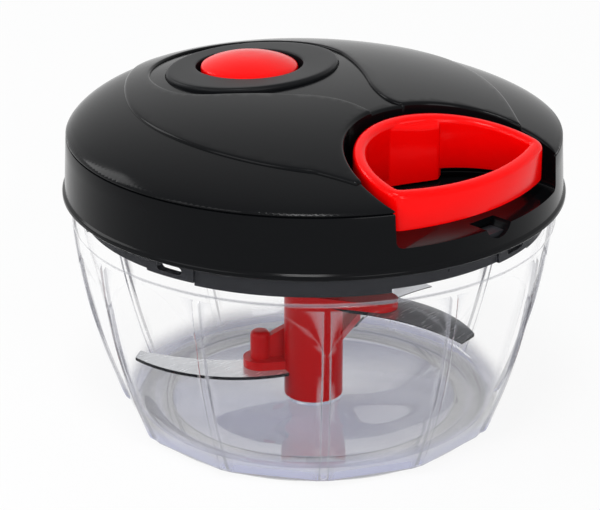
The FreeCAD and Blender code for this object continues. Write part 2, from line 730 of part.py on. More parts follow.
def make_lid_base():
    body = new_body("LidBaseBody")
    revolve(body, "LidBasePlate", [
        ("hub_r + fit_gap", "plate_z"),
        ("spigot_r - spigot_wall", "plate_z"),
        ("spigot_r - spigot_wall", "spigot_z"),
        ("spigot_r", "spigot_z"),
        ("spigot_r", "rim_z + seat_gap"),
        ("flange_r", "rim_z + seat_gap"),
        ("flange_r", "rim_z + seat_gap + flange_thick"),
        ("spigot_r - spigot_wall", "rim_z + seat_gap + flange_thick"),
        ("spigot_r - spigot_wall", "plate_z + plate_thick"),
        ("hub_r + fit_gap + collar_wall", "plate_z + plate_thick"),
        ("hub_r + fit_gap + collar_wall", "collar_top_z"),
        ("hub_r + fit_gap", "collar_top_z"),
    ])
    cuts = []
    added = []
    inner = "spigot_r - spigot_wall"
    step = 360 / size("tab_count")
    for number in range(int(size("tab_count"))):
        shift = " + %s" % (number * step)
        cuts.append(sector("Notch%d" % number, inner, "spigot_r + 1", "spigot_z - 1", "notch_z",
                           "notch_turn" + shift, "tab_turn - notch_turn"))
        cuts.append(sector("Trim%d" % number, inner, "spigot_r + 1", "spigot_z - 1", "tab_z",
                           "tab_turn" + shift, "tab_angle"))
        added.append(sector("Lug%d" % number, inner, "spigot_r", "lug_z", "notch_z + 1",
                            "lug_turn" + shift, "lug_angle"))
        added.append(sector("Tab%d" % number, inner, "spigot_r + tab_raise", "tab_z", "tab_top_z",
                            "tab_turn" + shift, "tab_angle"))
        slot = box("SlotMiddle%d" % number, "spigot_wall * 3", "slot_wide - slot_tall", "slot_tall",
                   "spigot_r - spigot_wall * 2", "-(slot_wide - slot_tall) / 2", "slot_z - slot_tall / 2")
        ends = [rod("SlotEnd%d%s" % (number, side), "slot_tall / 2", "spigot_wall * 3",
                    Vector(size("spigot_r - spigot_wall * 2"), way * size("(slot_wide - slot_tall) / 2"),
                           size("slot_z")), Vector(1, 0, 0))
                for side, way in (("A", -1), ("B", 1))]
        whole = fuse("Slot%d" % number, [slot] + ends)
        aim(whole, "tab_turn + tab_angle / 2" + shift)
        cuts.append(whole)
    screws = screw_spots()
    for number, spot in enumerate(screws):
        cuts.append(cylinder("BaseHole%d" % number, "screw_r + fit_gap", "plate_thick + 2",
                             spot[0], spot[1], "plate_z - 1"))
    slots = [item for item in cuts if item.Name.startswith("Slot")]
    plain = [item for item in cuts if not item.Name.startswith("Slot")]
    trimmed = cut("LidBaseTrimmed", body, fuse("LidBaseCuts", plain))
    grown = fuse("LidBaseGrown", [trimmed] + added)
    name_subpart(cut("LidBase", grown, fuse("LidBaseSlots", slots)), "lid_base")


def screw_spots():
    spots = []
    for number in range(int(size("screw_count"))):
        turn = "(screw_turn + %s)" % (number * 360 / size("screw_count"))
        spots.append(("screw_at * cos%s" % turn, "screw_at * sin%s" % turn))
    return spots


def screw_body(name, shank):
    """Screw pointing up, with the underside of its head at height 0."""
    body = new_body(name + "Body")
    revolve(body, name, [("0", "-screw_head"), ("screw_head_r - 1", "-screw_head"),
                         ("screw_head_r", "-screw_head + 1", "1"), ("screw_head_r", "0"), ("screw_r", "0"),
                         ("screw_r", "%s - screw_r" % shank), ("0", shank)])
    return body


def make_lid_screws():
    screws = []
    for number, spot in enumerate(screw_spots()):
        screw = screw_body("LidScrew%d" % number, "screw_long")
        place(screw, spot[0], spot[1], "plate_z")
        screws.append(screw)
    doc.recompute()
    group = doc.addObject("Part::Compound", "LidScrews")
    group.Links = screws
    name_subpart(group, "lid_screws")


# Outer cover

def plan_block(name, steps, low, tall):
    body = new_body(name + "Body")
    pad(body, name, outline(new_sketch(body, name + "Sketch", height=low), steps), tall)
    return body


def cord_line():
    """The tangent point of the cord on the spool, its direction and its height."""
    turn = math.radians(size("cord_turn"))
    reach = size("cord_layer_r")
    height = size("spool_z + web_thick + cord_r + slide_gap + cord_pitch * cord_turns")
    start = Vector(reach * math.cos(turn), -reach * math.sin(turn), height)
    return start, Vector(-math.sin(turn), -math.cos(turn), 0)


def cord_reach(radius):
    """Distance along the cord to a circle round the pocket's middle."""
    start, along = cord_line()
    offset = Vector(start.x, start.y - size("pocket_y"), 0)
    middle = -offset.dot(along)
    miss = offset + along * middle
    return middle - math.sqrt(radius ** 2 - miss.Length ** 2)


def make_lid_shell():
    top = "shoulder_z + dome_rise + 10"
    skirt = new_body("SkirtBody")
    revolve(skirt, "Skirt", [
        ("0", "skirt_z"), ("lip_r", "skirt_z"), ("lip_r", "skirt_z + lip_tall"),
        ("skirt_r", "skirt_z + lip_tall + lip_r - skirt_r"), ("shoulder_r", "shoulder_z - groove_deep"),
        ("shoulder_r - 3 * groove_deep", "shoulder_z + 2 * groove_deep"),
        ("0", "shoulder_z + 2 * groove_deep")])
    low_dome = dome("Dome")
    ledge = "rim_z + seat_gap + flange_thick"
    hollow = fuse("CoverHollow", [
        cylinder("SkirtHollow", "skirt_inner_r", ledge + " - skirt_z + 1", z="skirt_z - 1"),
        cylinder("CoverHollowLow", "cavity_r", "shoulder_z - dome_wall - skirt_z", z="skirt_z"),
        dome("InnerDome", "-dome_wall - 0.4", "dome_wall")])
    kept = [cylinder("TubBlock", "pocket_r + pocket_wall", "40", "0", "pocket_y", ledge),
            cylinder("SpoolPost", "post_r", "40", z="spool_post_z"),
            oval("SeatBlock", "bezel_x + 1.5", "bezel_y + 1.5", "20", "bezel_mid_y",
                 "bezel_seat_z - seat_thick")]
    for number, spot in enumerate(screw_spots()):
        kept.append(cylinder("CoverPost%d" % number, "post_r", "30", spot[0], spot[1],
                             "plate_z + plate_thick"))
    plain = cut("CoverPlain", fuse("CoverBlock", [skirt, low_dome]), fuse("SeatCuts", [
        oval("SeatCut", "bezel_x + slide_gap", "bezel_y + slide_gap", "20", "bezel_mid_y", "bezel_seat_z"),
        cylinder("WellCut", "well_r + well_wall + slide_gap", "40", "0", "button_y", "well_z - 20")]))
    solid = cut("CoverSolid", plain, cut("CoverRoom", hollow, fuse("KeptBlocks", kept)))
    start, along = cord_line()
    spot = start + along * cord_reach(size("pocket_r"))
    cuts = [cylinder("PocketCut", "pocket_r", "60", "0", "pocket_y", "pocket_z"),
            rod("DipCut", "dip_r", "dip_long + 10",
                Vector(0, -size("skirt_inner_r") + size("dip_long") - 1.3, size("pocket_z + dip_r - dip_deep")),
                Vector(0, -1, 0)),
            rod("GuideCut", "guide_r + slide_gap / 2", "20", spot - along * 10, along),
            rod("GuideFace", "guide_flange_r + slide_gap", "20", spot, along),
            cylinder("SpoolScrewHole", "screw_r + fit_gap", "spool_screw_long + 1", z="spool_post_z - 0.5")]
    for number, hole in enumerate(screw_spots()):
        cuts.append(cylinder("CoverHole%d" % number, "screw_r + fit_gap", "screw_long",
                             hole[0], hole[1], "plate_z + plate_thick - 1"))
    name_subpart(cut("LidShell", solid, fuse("CoverCuts", cuts)), "lid_shell")
    bezel_plate = common("BezelPlate", [
        oval("BezelBlock", "bezel_x", "bezel_y", "20", "bezel_mid_y", "bezel_seat_z"),
        dome("BezelDome", "bezel_raise")])
    well = cylinder("WellBlock", "well_r + well_wall", "bezel_seat_z - well_z + well_floor + 1",
                    "0", "button_y", "well_z - well_floor")
    bezel_cuts = fuse("BezelCuts", [
        cylinder("WellBore", "well_r", "40", "0", "button_y", "well_z"),
        cylinder("StemBore", "stem_r + fit_gap", "10", "0", "button_y", "well_z - 5")])
    name_subpart(cut("Bezel", fuse("BezelSolid", [bezel_plate, well]), bezel_cuts), "button_bezel")


# Button

def make_button():
    body = new_body("ButtonBody")
    inner = "button_r - button_wall"
    roof = "button_rim_z - button_wall"
    revolve(body, "ButtonCap", [
        ("0", "well_z - well_floor - seat_gap - stem_head"),
        ("stem_head_r - 0.6", "well_z - well_floor - seat_gap - stem_head"),
        ("stem_head_r", "well_z - well_floor - seat_gap - stem_head / 2"),
        ("stem_head_r", "well_z - well_floor - seat_gap"),
        ("stem_r", "well_z - well_floor - seat_gap"),
        ("stem_r", roof),
        (inner, roof),
        (inner, "button_low_z"),
        ("button_r", "button_low_z"),
        ("button_r", "button_rim_z - 0.6"),
        ("button_r - 0.6", "button_rim_z", "0.6"),
        ("1", "button_top_z", "((button_r - 1.6)^2 + (button_top_z - button_rim_z)^2)"
                              " / (2 * (button_top_z - button_rim_z))"),
        ("0", "button_top_z")])
    place(body, "0", "button_y", "0")
    name_subpart(body, "push_button")
    low = size("well_z + coil_wire_r + fit_gap")
    high = size("button_rim_z - button_wall - coil_wire_r - fit_gap")
    turns = size("coil_turns")
    pitch = (high - low) / turns
    wire, points = coil(size("coil_r"), size("coil_wire_r"), low, pitch, turns, 0, 1)
    print("button_spring least gap between turns", round(pitch - 2 * size("coil_wire_r"), 2))
    spring = feature("ButtonSpring", wire)
    place(spring, "0", "button_y", "0")
    name_subpart(spring, "button_spring")


# Spool and its spring

def make_spool():
    body = new_body("SpoolBody")
    floor = "spool_z + web_thick"
    upper = "spool_z + web_thick + groove_tall"
    cavity = "drum_r - drum_wall"
    revolve(body, "SpoolDrum", [
        ("post_r + fit_gap", "spool_z"), ("ratchet_root_r", "spool_z"), ("ratchet_root_r", "ratchet_z"),
        ("ratchet_r", "ratchet_z"), ("ratchet_r", "spool_z"), ("spool_r", "spool_z"), ("spool_r", floor),
        ("drum_r", floor), ("drum_r", upper), ("spool_r", upper), ("spool_r", upper + " + top_flange"),
        (cavity + " + 0.6", upper + " + top_flange"),
        (cavity + " + 0.6", upper + " + top_flange - cover_thick"),
        (cavity, upper + " + top_flange - cover_thick"), (cavity, floor), ("post_r + fit_gap", floor)])
    sketch = new_sketch(body, "ToothSketch", height="ratchet_z")
    root = "(ratchet_root_r + 0.3)"
    arc = "(330 / tooth_count)"
    outline(sketch, [("ratchet_tip_r", "0"), (root, "0"),
                     (root + " * cos" + arc, root + " * sin" + arc)])
    tooth = pad(body, "Tooth", sketch, "spool_z - ratchet_z + 0.2")
    doc.recompute()
    pattern(body, "Teeth", [tooth], "tooth_count")
    name_subpart(body, "cord_spool")
    cover = new_body("SpringCoverBody")
    low = upper + " + top_flange - cover_thick"
    revolve(cover, "SpringCover", [("post_r + fit_gap", low), (cavity + " + 0.5", low),
                                   (cavity + " + 0.5", upper + " + top_flange"),
                                   ("post_r + fit_gap", upper + " + top_flange")])
    name_subpart(cover, "spring_cover")
    washer = new_body("WasherBody")
    revolve(washer, "Washer", [("screw_r + fit_gap", "spool_post_z - washer_thick"),
                               ("washer_r", "spool_post_z - washer_thick"), ("washer_r", "spool_post_z"),
                               ("screw_r + fit_gap", "spool_post_z")])
    name_subpart(washer, "spool_washer")
    screw = screw_body("SpoolScrew", "spool_screw_long")
    place(screw, z="spool_post_z - washer_thick")
    name_subpart(screw, "spool_screw")


def make_spiral():
    """Flat strip wound from the post to the drum's wall, in half circles."""
    inner = size("post_r + strip_thick / 2 + seat_gap")
    outer = size("drum_r - drum_wall - strip_thick / 2 - seat_gap")
    turns = size("strip_turns")
    pitch = (outer - inner) / (turns + 0.25)
    half = size("strip_thick") / 2
    sides = {half: [], -half: []}
    centre = 0.0
    for number in range(int(turns * 2)):
        reach = inner + number * pitch / 2
        way = math.cos(number * math.pi)
        for side in sides:
            points = [Vector(centre + way * (reach + side), 0, 0), Vector(centre, way * (reach + side), 0),
                      Vector(centre - way * (reach + side), 0, 0)]
            sides[side].append(Part.Arc(*points).toShape())
        centre += way * pitch / 2
    first = [side[0].Vertexes[0].Point for side in sides.values()]
    last = [side[-1].Vertexes[-1].Point for side in sides.values()]
    edges = sides[half] + sides[-half] + [Part.makeLine(*first), Part.makeLine(*last)]
    face = Part.Face(Part.Wire(Part.__sortEdges__(edges)))
    strip = face.extrude(Vector(0, 0, size("strip_tall")))
    print("return_spring least gap between turns", round(pitch - size("strip_thick"), 2))
    spring = feature("ReturnSpring", strip)
    place(spring, z="spool_z + web_thick + seat_gap")
    name_subpart(spring, "return_spring")


# Driver

def make_driver():
    body = new_body("DriverBody")
    flange = "collar_top_z + seat_gap"
    revolve(body, "Driver", [
        ("0", "hub_low_z"), ("hub_r", "hub_low_z"), ("hub_r", flange), ("hub_flange_r", flange),
        ("hub_flange_r", "hub_top_z"), ("0", "hub_top_z")])
    socket = doc.addObject("Part::Prism", "DriverSocket")
    socket.Polygon = 6
    bind(socket, "Circumradius", "(drive_flats / 2 + slide_gap) / cos(30)")
    bind(socket, "Height", "socket_deep + 1")
    place(socket, z="hub_low_z - 1")
    pins = []
    turn = size("pawl_turn")
    for name, start in (("a", 0), ("b", 180)):
        x = "pawl_pin_at * cos(%s)" % (turn + start)
        y = "pawl_pin_at * sin(%s)" % (turn + start)
        pins.append(cylinder("PawlPin" + name, "pawl_pin_r", "pawl_thick + 1.2", x, y, "hub_top_z - 1"))
    solid = fuse("DriverSolid", [cut("DriverBored", body, socket)] + pins)
    name_subpart(solid, "drive_hub")
    pin = "pawl_pin_at * %s(pawl_turn)"
    for name, start in (("a", 0), ("b", 180)):
        pawl = new_body("PawlBody" + name)
        sketch = outline(new_sketch(pawl, "PawlSketch" + name, height="hub_top_z + slide_gap"), [
            ("(ratchet_root_r - 0.4) * cos(1.6)", "-(ratchet_root_r - 0.4) * sin(1.6)"),
            ("(ratchet_tip_r - 0.5) * cos(1.6)", "-(ratchet_tip_r - 0.5) * sin(1.6)"),
            (pin % "cos" + " - pawl_half * 0.6", pin % "sin" + " + pawl_half * 0.8"),
            (pin % "cos" + " + pawl_half * 0.6", pin % "sin" + " - pawl_half * 0.8"),
            ("(ratchet_tip_r + 0.5) * cos(13)", "-(ratchet_tip_r + 0.5) * sin(13)")])
        pad(pawl, "PawlArm" + name, sketch, "pawl_thick")
        eye = cylinder("PawlEye" + name, "pawl_pin_r + 1", "pawl_thick", pin % "cos", pin % "sin",
                       "hub_top_z + slide_gap")
        bore = cylinder("PawlBore" + name, "pawl_pin_r + fit_gap", "pawl_thick + 2", pin % "cos", pin % "sin",
                        "hub_top_z - 1")
        whole = cut("Pawl" + name, fuse("PawlSolid" + name, [pawl, eye]), bore)
        aim(whole, str(start))
        name_subpart(whole, "pawl_" + name)


# Cord and its guide

def make_cord():
    start, along = cord_line()
    layer = size("cord_layer_r")
    wire, points = coil(layer, size("cord_r"), start.z - size("cord_pitch * cord_turns"), size("cord_pitch"),
                        size("cord_turns"), -size("cord_turn"), -1)
    print("cord_winding least gap between turns", round(size("cord_pitch - 2 * cord_r"), 2))
    core = cut("CordCore", cylinder("CordCoreOuter", "cord_layer_r - cord_r - fit_gap",
                                    "groove_tall - 2 * slide_gap", z="spool_z + web_thick + slide_gap"),
               cylinder("CordCoreInner", "drum_r + fit_gap", "groove_tall + 2", z="spool_z + web_thick - 1"))
    outer = feature("CordOuterLayer", wire)
    doc.recompute()
    winding = doc.addObject("Part::Compound", "CordWinding")
    winding.Links = [core, outer]
    name_subpart(winding, "cord_winding")
    face = cord_reach(size("pocket_r"))
    flange = size("guide_flange")
    gap = size("seat_gap")
    clear = size("sqrt((cord_layer_r + cord_r + seat_gap) ^ 2 - (cord_layer_r - cord_r) ^ 2)")
    straight = rod("PullCord", "cord_r", "%s" % (face + flange - clear), start + along * clear, along)
    name_subpart(straight, "pull_cord")
    wall = size("pocket_wall")
    bush = rod("GuideTube", "guide_r", "%s" % (wall + flange + 0.6), start + along * (face - wall - 0.6), along)
    collar = rod("GuideCollar", "guide_flange_r", "guide_flange", start + along * face, along)
    bore = rod("GuideBore", "guide_bore_r", "%s" % (wall + flange + 4), start + along * (face - wall - 2), along)
    name_subpart(cut("CordGuide", fuse("GuideSolid", [bush, collar]), bore), "cord_guide")
    knot = cord_reach(size("handle_back_r")) + size("knot_r") + 1.2
    stub = rod("CordStub", "cord_r", "%s" % (knot - face - flange - gap), start + along * (face + flange + gap), along)
    centre = start + along * knot
    ball = doc.addObject("Part::Sphere", "CordKnot")
    bind(ball, "Radius", "knot_r")
    ball.Placement.Base = centre
    name_subpart(fuse("CordEnd", [stub, ball]), "cord_end")
    return centre, along


# Handle

def ring_plan(name, shrink, low, tall):
    """D-shaped block: a round back in the pocket and a front round the lid's axis."""
    front = "(handle_front_r - %s)" % shrink
    back = "(handle_back_r - %s)" % shrink
    corner_y = "(-(%s ^ 2 - %s ^ 2 + pocket_y ^ 2) / (2 * abs(pocket_y)))" % (front, back)
    corner_x = "sqrt(%s ^ 2 - %s ^ 2)" % (front, corner_y)
    return plan_block(name, [(corner_x, corner_y), ("-" + corner_x, corner_y, "-" + front),
                             ("0", "pocket_y + " + back, "-" + back),
                             (corner_x, corner_y, "-" + back)][1:], low, tall)


def corner_edges(ring, outside):
    """Upright edges at the ring's two front corners, of its outer or its inner side."""
    found = []
    for edge in ring.Edges:
        box_now = edge.BoundBox
        upright = box_now.ZLength > 5 and box_now.XLength < 0.01 and box_now.YLength < 0.01
        reach = math.hypot(box_now.Center.x, box_now.Center.y)
        sharp = box_now.Center.y < size("pocket_y") and abs(box_now.Center.x) > size("handle_back_r / 2")
        if upright and sharp and (reach > size("handle_front_r - 0.1")) == outside \
                and (outside or reach > size("handle_front_r - handle_wall - 0.1")):
            found.append(edge)
    return found


def make_handle(knot, along):
    low = "handle_z"
    outer = ring_plan("RingOuter", "0", low, "25")
    inner = ring_plan("RingInner", "handle_wall", "handle_z - 1", "30")
    slope = "tan(handle_tilt)"
    over = new_body("RingTopBody")
    sketch = outline(new_sketch(over, "RingTopSketch", "YZ_Plane", "-40"), [
        ("-100", "handle_top_z + (-100 - handle_top_y) * " + slope),
        ("0", "handle_top_z - handle_top_y * " + slope), ("0", "130"), ("-100", "130")])
    pad(over, "RingTop", sketch, "80")
    band = "(handle_back_r - handle_wall / 2)"
    left_y = "pocket_y + sqrt(%s ^ 2 - block_left_x ^ 2)" % band
    right_y = "pocket_y + sqrt(%s ^ 2 - block_right_x ^ 2)" % band
    block = plan_block("CordBlock", [("block_left_x", left_y, band), ("block_nose_x", "block_nose_y"),
                                     ("block_right_x", right_y)], low, "block_top_z - handle_z")
    doc.recompute()
    ring = outer.Shape.cut(inner.Shape).cut(over.Shape)
    ring = ring.makeFillet(size("handle_corner_r"), corner_edges(ring, outside=True))
    ring = ring.makeFillet(size("handle_corner_r - handle_wall"), corner_edges(ring, outside=False))
    rims = [edge for edge in ring.Edges if edge.BoundBox.ZMin > size("handle_z") + 5
            and edge.Length > 1]
    ring = ring.makeFillet(size("handle_bead_r"), rims)
    bore = Part.makeCylinder(size("cord_r + slide_gap"), 12, knot - along * 10, along)
    nest = Part.makeCylinder(size("knot_r") + 0.3, knot.z + size("knot_r") + 0.3 - size("handle_z"),
                             Vector(knot.x, knot.y, size("handle_z")))
    clip = ring_plan("BlockLimit", "handle_wall / 2", low, "25")
    doc.recompute()
    lump = block.Shape.common(clip.Shape)
    whole = ring.fuse(lump).cut(bore).cut(nest).removeSplitter()
    name_subpart(feature("PullHandle", whole), "pull_handle")


def write_subparts():
    doc.recompute()
    for item in doc.Objects:
        if "Invalid" in item.State or "Error" in item.State:
            raise RuntimeError("failed object: " + item.Label)
    for item in SUBPARTS:
        if item.Shape.isNull() or not item.Shape.isValid():
            raise RuntimeError("bad shape: " + item.Label)
    os.makedirs("parts", exist_ok=True)
    for item in SUBPARTS:
        item.Shape.exportStep("parts/%s.step" % item.Label)
        print(item.Label, len(item.Shape.Solids), round(item.Shape.Volume, 1))


make_bowl_assembly()
make_rotor()
make_lid_base()
make_lid_screws()
make_lid_shell()
make_button()
make_spool()
make_spiral()
make_driver()
make_handle(*make_cord())
write_subparts()
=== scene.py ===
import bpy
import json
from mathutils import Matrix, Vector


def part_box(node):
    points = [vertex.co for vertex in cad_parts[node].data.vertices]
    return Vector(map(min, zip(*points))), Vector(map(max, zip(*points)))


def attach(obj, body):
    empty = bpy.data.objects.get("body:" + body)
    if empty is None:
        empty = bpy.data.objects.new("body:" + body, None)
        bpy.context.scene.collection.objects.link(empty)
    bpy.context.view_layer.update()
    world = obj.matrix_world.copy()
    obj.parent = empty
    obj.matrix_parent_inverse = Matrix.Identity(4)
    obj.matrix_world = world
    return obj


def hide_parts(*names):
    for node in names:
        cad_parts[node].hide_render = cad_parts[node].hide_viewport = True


bl_info = {
    "name": "Pull-string food chopper",
    "version": (1, 0, 0),
    "blender": (4, 5, 0),
    "location": "View3D > Sidebar > Chopper",
    "description": "Dresses the packed model of a pull-string food chopper, piece by piece",
    "category": "Object",
}

import json
import math

import bmesh
import bpy
import numpy as np
from bpy.props import FloatProperty, FloatVectorProperty, IntProperty, PointerProperty
from mathutils import Matrix, Vector
from mathutils.geometry import delaunay_2d_cdt

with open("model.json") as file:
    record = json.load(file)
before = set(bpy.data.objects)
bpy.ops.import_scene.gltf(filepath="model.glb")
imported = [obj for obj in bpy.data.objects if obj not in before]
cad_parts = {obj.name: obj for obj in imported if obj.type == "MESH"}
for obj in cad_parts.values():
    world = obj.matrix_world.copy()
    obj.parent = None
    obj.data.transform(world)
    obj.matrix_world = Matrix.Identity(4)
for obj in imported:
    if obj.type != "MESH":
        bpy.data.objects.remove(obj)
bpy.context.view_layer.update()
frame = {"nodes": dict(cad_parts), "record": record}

MM = 0.001
FULL_TURN = math.tau


# Sizes and colours that a user would change

def linear(code):
    """Linear RGBA of an sRGB hex value such as "#1b1d1f"."""
    channels = [int(code[place:place + 2], 16) / 255 for place in (1, 3, 5)]
    return tuple(c / 12.92 if c <= 0.04045 else ((c + 0.055) / 1.055) ** 2.4 for c in channels) + (1.0,)


def length(name, description, default):
    """A length property whose default is given in millimetres."""
    return FloatProperty(name=name, description=description, default=default * MM, unit="LENGTH")


def colour(name, description, default):
    """A colour property whose default is given as an sRGB hex value."""
    return FloatVectorProperty(name=name, description=description, default=linear(default)[:3],
                               size=3, subtype="COLOR", min=0.0, max=1.0)


class ChopperCover(bpy.types.PropertyGroup):
    shoulder_r: length("Shoulder radius", "Radius of the cover where the dome starts", 64.3)
    shoulder_z: length("Shoulder height", "Height of the cover where the dome starts", 79.5)
    rise: length("Dome rise", "Height of the dome over the shoulder", 11.2)
    lean: length("Dome lean", "How far the dome's top leans towards the button", 8.85)
    wall: length("Dome wall", "Thickness of the dome", 2.2)
    raised: length("Raised panels", "How far the raised panels stand above the dome", 0.7)
    raised_edge: length("Panel edge", "Width of the raised panels' rounded edge", 0.8)
    pocket_y: length("Pocket place", "Middle of the handle's pocket along Y", -52.5)
    pocket_r: length("Pocket radius", "Radius of the handle's pocket", 29.4)
    pocket_z: length("Pocket floor", "Height of the floor of the handle's pocket", 70)
    lip: length("Pocket lip", "Radius of the pocket's rounded lip", 0.9)


class ChopperButton(bpy.types.PropertyGroup):
    bezel_y: length("Bezel place", "Middle of the bezel along Y", 23.4)
    bezel_long: length("Bezel half length", "Half the bezel's length along X", 24.4)
    bezel_wide: length("Bezel half width", "Half the bezel's width along Y", 21)
    bezel_z: length("Bezel seat", "Height of the bezel's underside", 87.4)
    bezel_raise: length("Bezel raise", "How far the bezel stands above the dome", 1.2)
    well_y: length("Well place", "Middle of the well and the button along Y", 24.6)
    well_r: length("Well radius", "Radius of the well round the button", 14.2)
    well_z: length("Well floor", "Height of the well's floor", 85.4)
    button_r: length("Button radius", "Radius of the button", 12.9)
    button_top: length("Button height", "Height of the top of the button's crown", 93.4)


class ChopperHandle(bpy.types.PropertyGroup):
    back_r: length("Back radius", "Radius of the ring's back, round the pocket's middle", 27.1)
    front_r: length("Front radius", "Distance of the ring's front from the lid's axis", 61.5)
    wall: length("Ring wall", "Thickness of the ring", 3.3)
    low: length("Ring foot", "Height of the ring's lower edge", 73)
    top: length("Ring top", "Height of the ring's top at its slope's pivot", 82.1)
    pivot_y: length("Slope pivot", "Place along Y of the pivot of the top's slope", -58)
    slope: FloatProperty(name="Top slope", description="Slope of the ring's top", subtype="ANGLE",
                         unit="ROTATION", default=math.radians(10.5))
    corner: length("Front corners", "Radius of the ring's front corners", 4)
    bead: length("Rounded edge", "Radius of the ring's rounded top edges", 1.4)


class ChopperBowl(bpy.types.PropertyGroup):
    panels: IntProperty(name="Panels", description="Number of flat panels and of ribs", default=12, min=3)
    rib_turn: FloatProperty(name="First rib", description="Angle of the first rib", subtype="ANGLE",
                            unit="ROTATION", default=math.radians(18.8))
    rib_r: length("Rib radius", "Radius of a rib's bead", 1.15)
    rim_r: length("Rim radius", "Outer radius of the rim band", 63.4)
    rim_z: length("Bowl height", "Height of the rim", 66)


class ChopperColours(bpy.types.PropertyGroup):
    clear: colour("Bowl", "Tint of the clear bowl", "#eeeef6")
    base: colour("Bowl base", "Tint of the bowl's thick base", "#9aa0cc")
    cover: colour("Cover", "Glossy cover", "#0a0b0d")
    bezel: colour("Bezel", "Satin bezel round the button", "#111214")
    inner: colour("Inner cover", "Satin inner cover", "#26272b")
    handle: colour("Handle and button", "Glossy handle and button", "#fc0303")
    hub: colour("Shaft", "Blade shaft", "#bf0508")
    steel: colour("Steel", "Blades, screws and springs", "#d6d8dc")
    # The blades' cut sides: near black, partly their ground finish and partly painted shade.
    cut: colour("Cut edges", "Ground and cut edges of the blades", "#1c1e21")
    acetal: colour("Mechanism", "Spool, driver and pawls", "#e6e5e0")
    cord: colour("Cord", "Braided cord", "#e4e1d8")


SETTINGS = {"chopper_cover": ChopperCover, "chopper_button": ChopperButton,
            "chopper_handle": ChopperHandle, "chopper_bowl": ChopperBowl,
            "chopper_colours": ChopperColours}


def settings(group):
    """The scene's own settings of one group, such as the cover's."""
    return getattr(bpy.context.scene, "chopper_" + group)


# Shader nodes

def add_node(tree, kind, place, inputs=None, **values):
    """Adds a node, sets its properties or its sockets' values, and links or sets its inputs."""
    node = tree.nodes.new("ShaderNode" + kind)
    node.location = place
    for name, value in values.items():
        if hasattr(node, name):
            setattr(node, name, value)
        else:
            node.inputs[name.replace("_", " ")].default_value = value
    for name, source in (inputs or {}).items():
        if isinstance(source, bpy.types.NodeSocket):
            tree.links.new(source, node.inputs[name])
        else:
            node.inputs[name].default_value = source
    return node


def new_material(name, **surface):
    """A material with one Principled shader, with its node tree and its shader."""
    made = bpy.data.materials.new(name)
    made.use_nodes = True
    shader = made.node_tree.nodes["Principled BSDF"]
    for socket, value in surface.items():
        shader.inputs[socket.replace("_", " ")].default_value = value
    return made, made.node_tree, shader


def uneven_pattern(tree, grain, detail, place, stretch=(1, 1, 1)):
    """A pattern whose features are about grain metres across, on Object coordinates."""
    spot = add_node(tree, "TexCoord", (place[0] - 400, place[1]))
    turn = add_node(tree, "Mapping", (place[0] - 200, place[1]), {"Vector": spot.outputs["Object"]},
                    Scale=stretch)
    made = add_node(tree, "TexNoise", place, {"Vector": turn.outputs["Vector"]}, Scale=0.5 / grain,
                    Detail=detail)
    return made.outputs["Fac"]


def follow(tree, shader, pattern, shades=None, rough=None, relief=None):
    """Lets the surface follow a pattern from its low parts to its high ones: the base colour between
    two shades, the roughness between two values, the relief by its strength and its depth in metres."""
    if shades:
        ramp = add_node(tree, "ValToRGB", (-300, 300), {"Fac": pattern})
        for stop, place, shade in zip(ramp.color_ramp.elements, (0.3, 0.7), shades):
            stop.position = place
            stop.color = (*shade, 1)
        tree.links.new(ramp.outputs["Color"], shader.inputs["Base Color"])
    if rough:
        spread = add_node(tree, "MapRange", (-300, 0), {"Value": pattern}, To_Min=rough[0], To_Max=rough[1])
        tree.links.new(spread.outputs["Result"], shader.inputs["Roughness"])
    if relief:
        bump = add_node(tree, "Bump", (-300, -300), {"Height": pattern}, Strength=relief[0],
                        Distance=relief[1])
        tree.links.new(bump.outputs["Normal"], shader.inputs["Normal"])


def tone(base, factor):
    """A colour made darker or lighter."""
    return tuple(min(1.0, channel * factor) for channel in base)


def moulded(tree, shader, base, rough, patch, detail, grain, strength, tones=(0.93, 1.08)):
    """A moulded surface: patches of tone and roughness, and the fine relief of its tool."""
    cloud = uneven_pattern(tree, patch * MM, detail, (-800, 200))
    follow(tree, shader, cloud, [tone(base, factor) for factor in tones], rough)
    fine = uneven_pattern(tree, grain * MM, 1.0, (-800, -300))
    follow(tree, shader, fine, relief=(strength, 0.02 * MM))


# Materials, each from what the real one is made of and how

# How much of what lies behind it the clear bowl hides: its wall seen square on and seen
# along itself, its thick base, and its edges, where it hides more so that the painted shade there shows.
WALL_HIDES = 0.004
SLANT_HIDES = 0.35
BASE_HIDES = 0.5
EDGE_HIDES = 0.65

# The bowl's base is thick up to one height and thin from another. Its rings of painted shade
# and painted highlight stand in for the light that the base's steps bend. They are given as a
# share of its reach, and how light the base is painted from there.
BASE_THICK = 3 * MM
BASE_THIN = 10 * MM
BASE_REACH = 50 * MM
BASE_RING_SHADES = [(0.0, 1.0), (0.755, 1.0), (0.765, 0.3), (0.82, 0.45), (0.835, 1.3), (0.85, 1.3),
              (0.86, 0.35), (0.91, 0.5), (0.94, 1.2)]


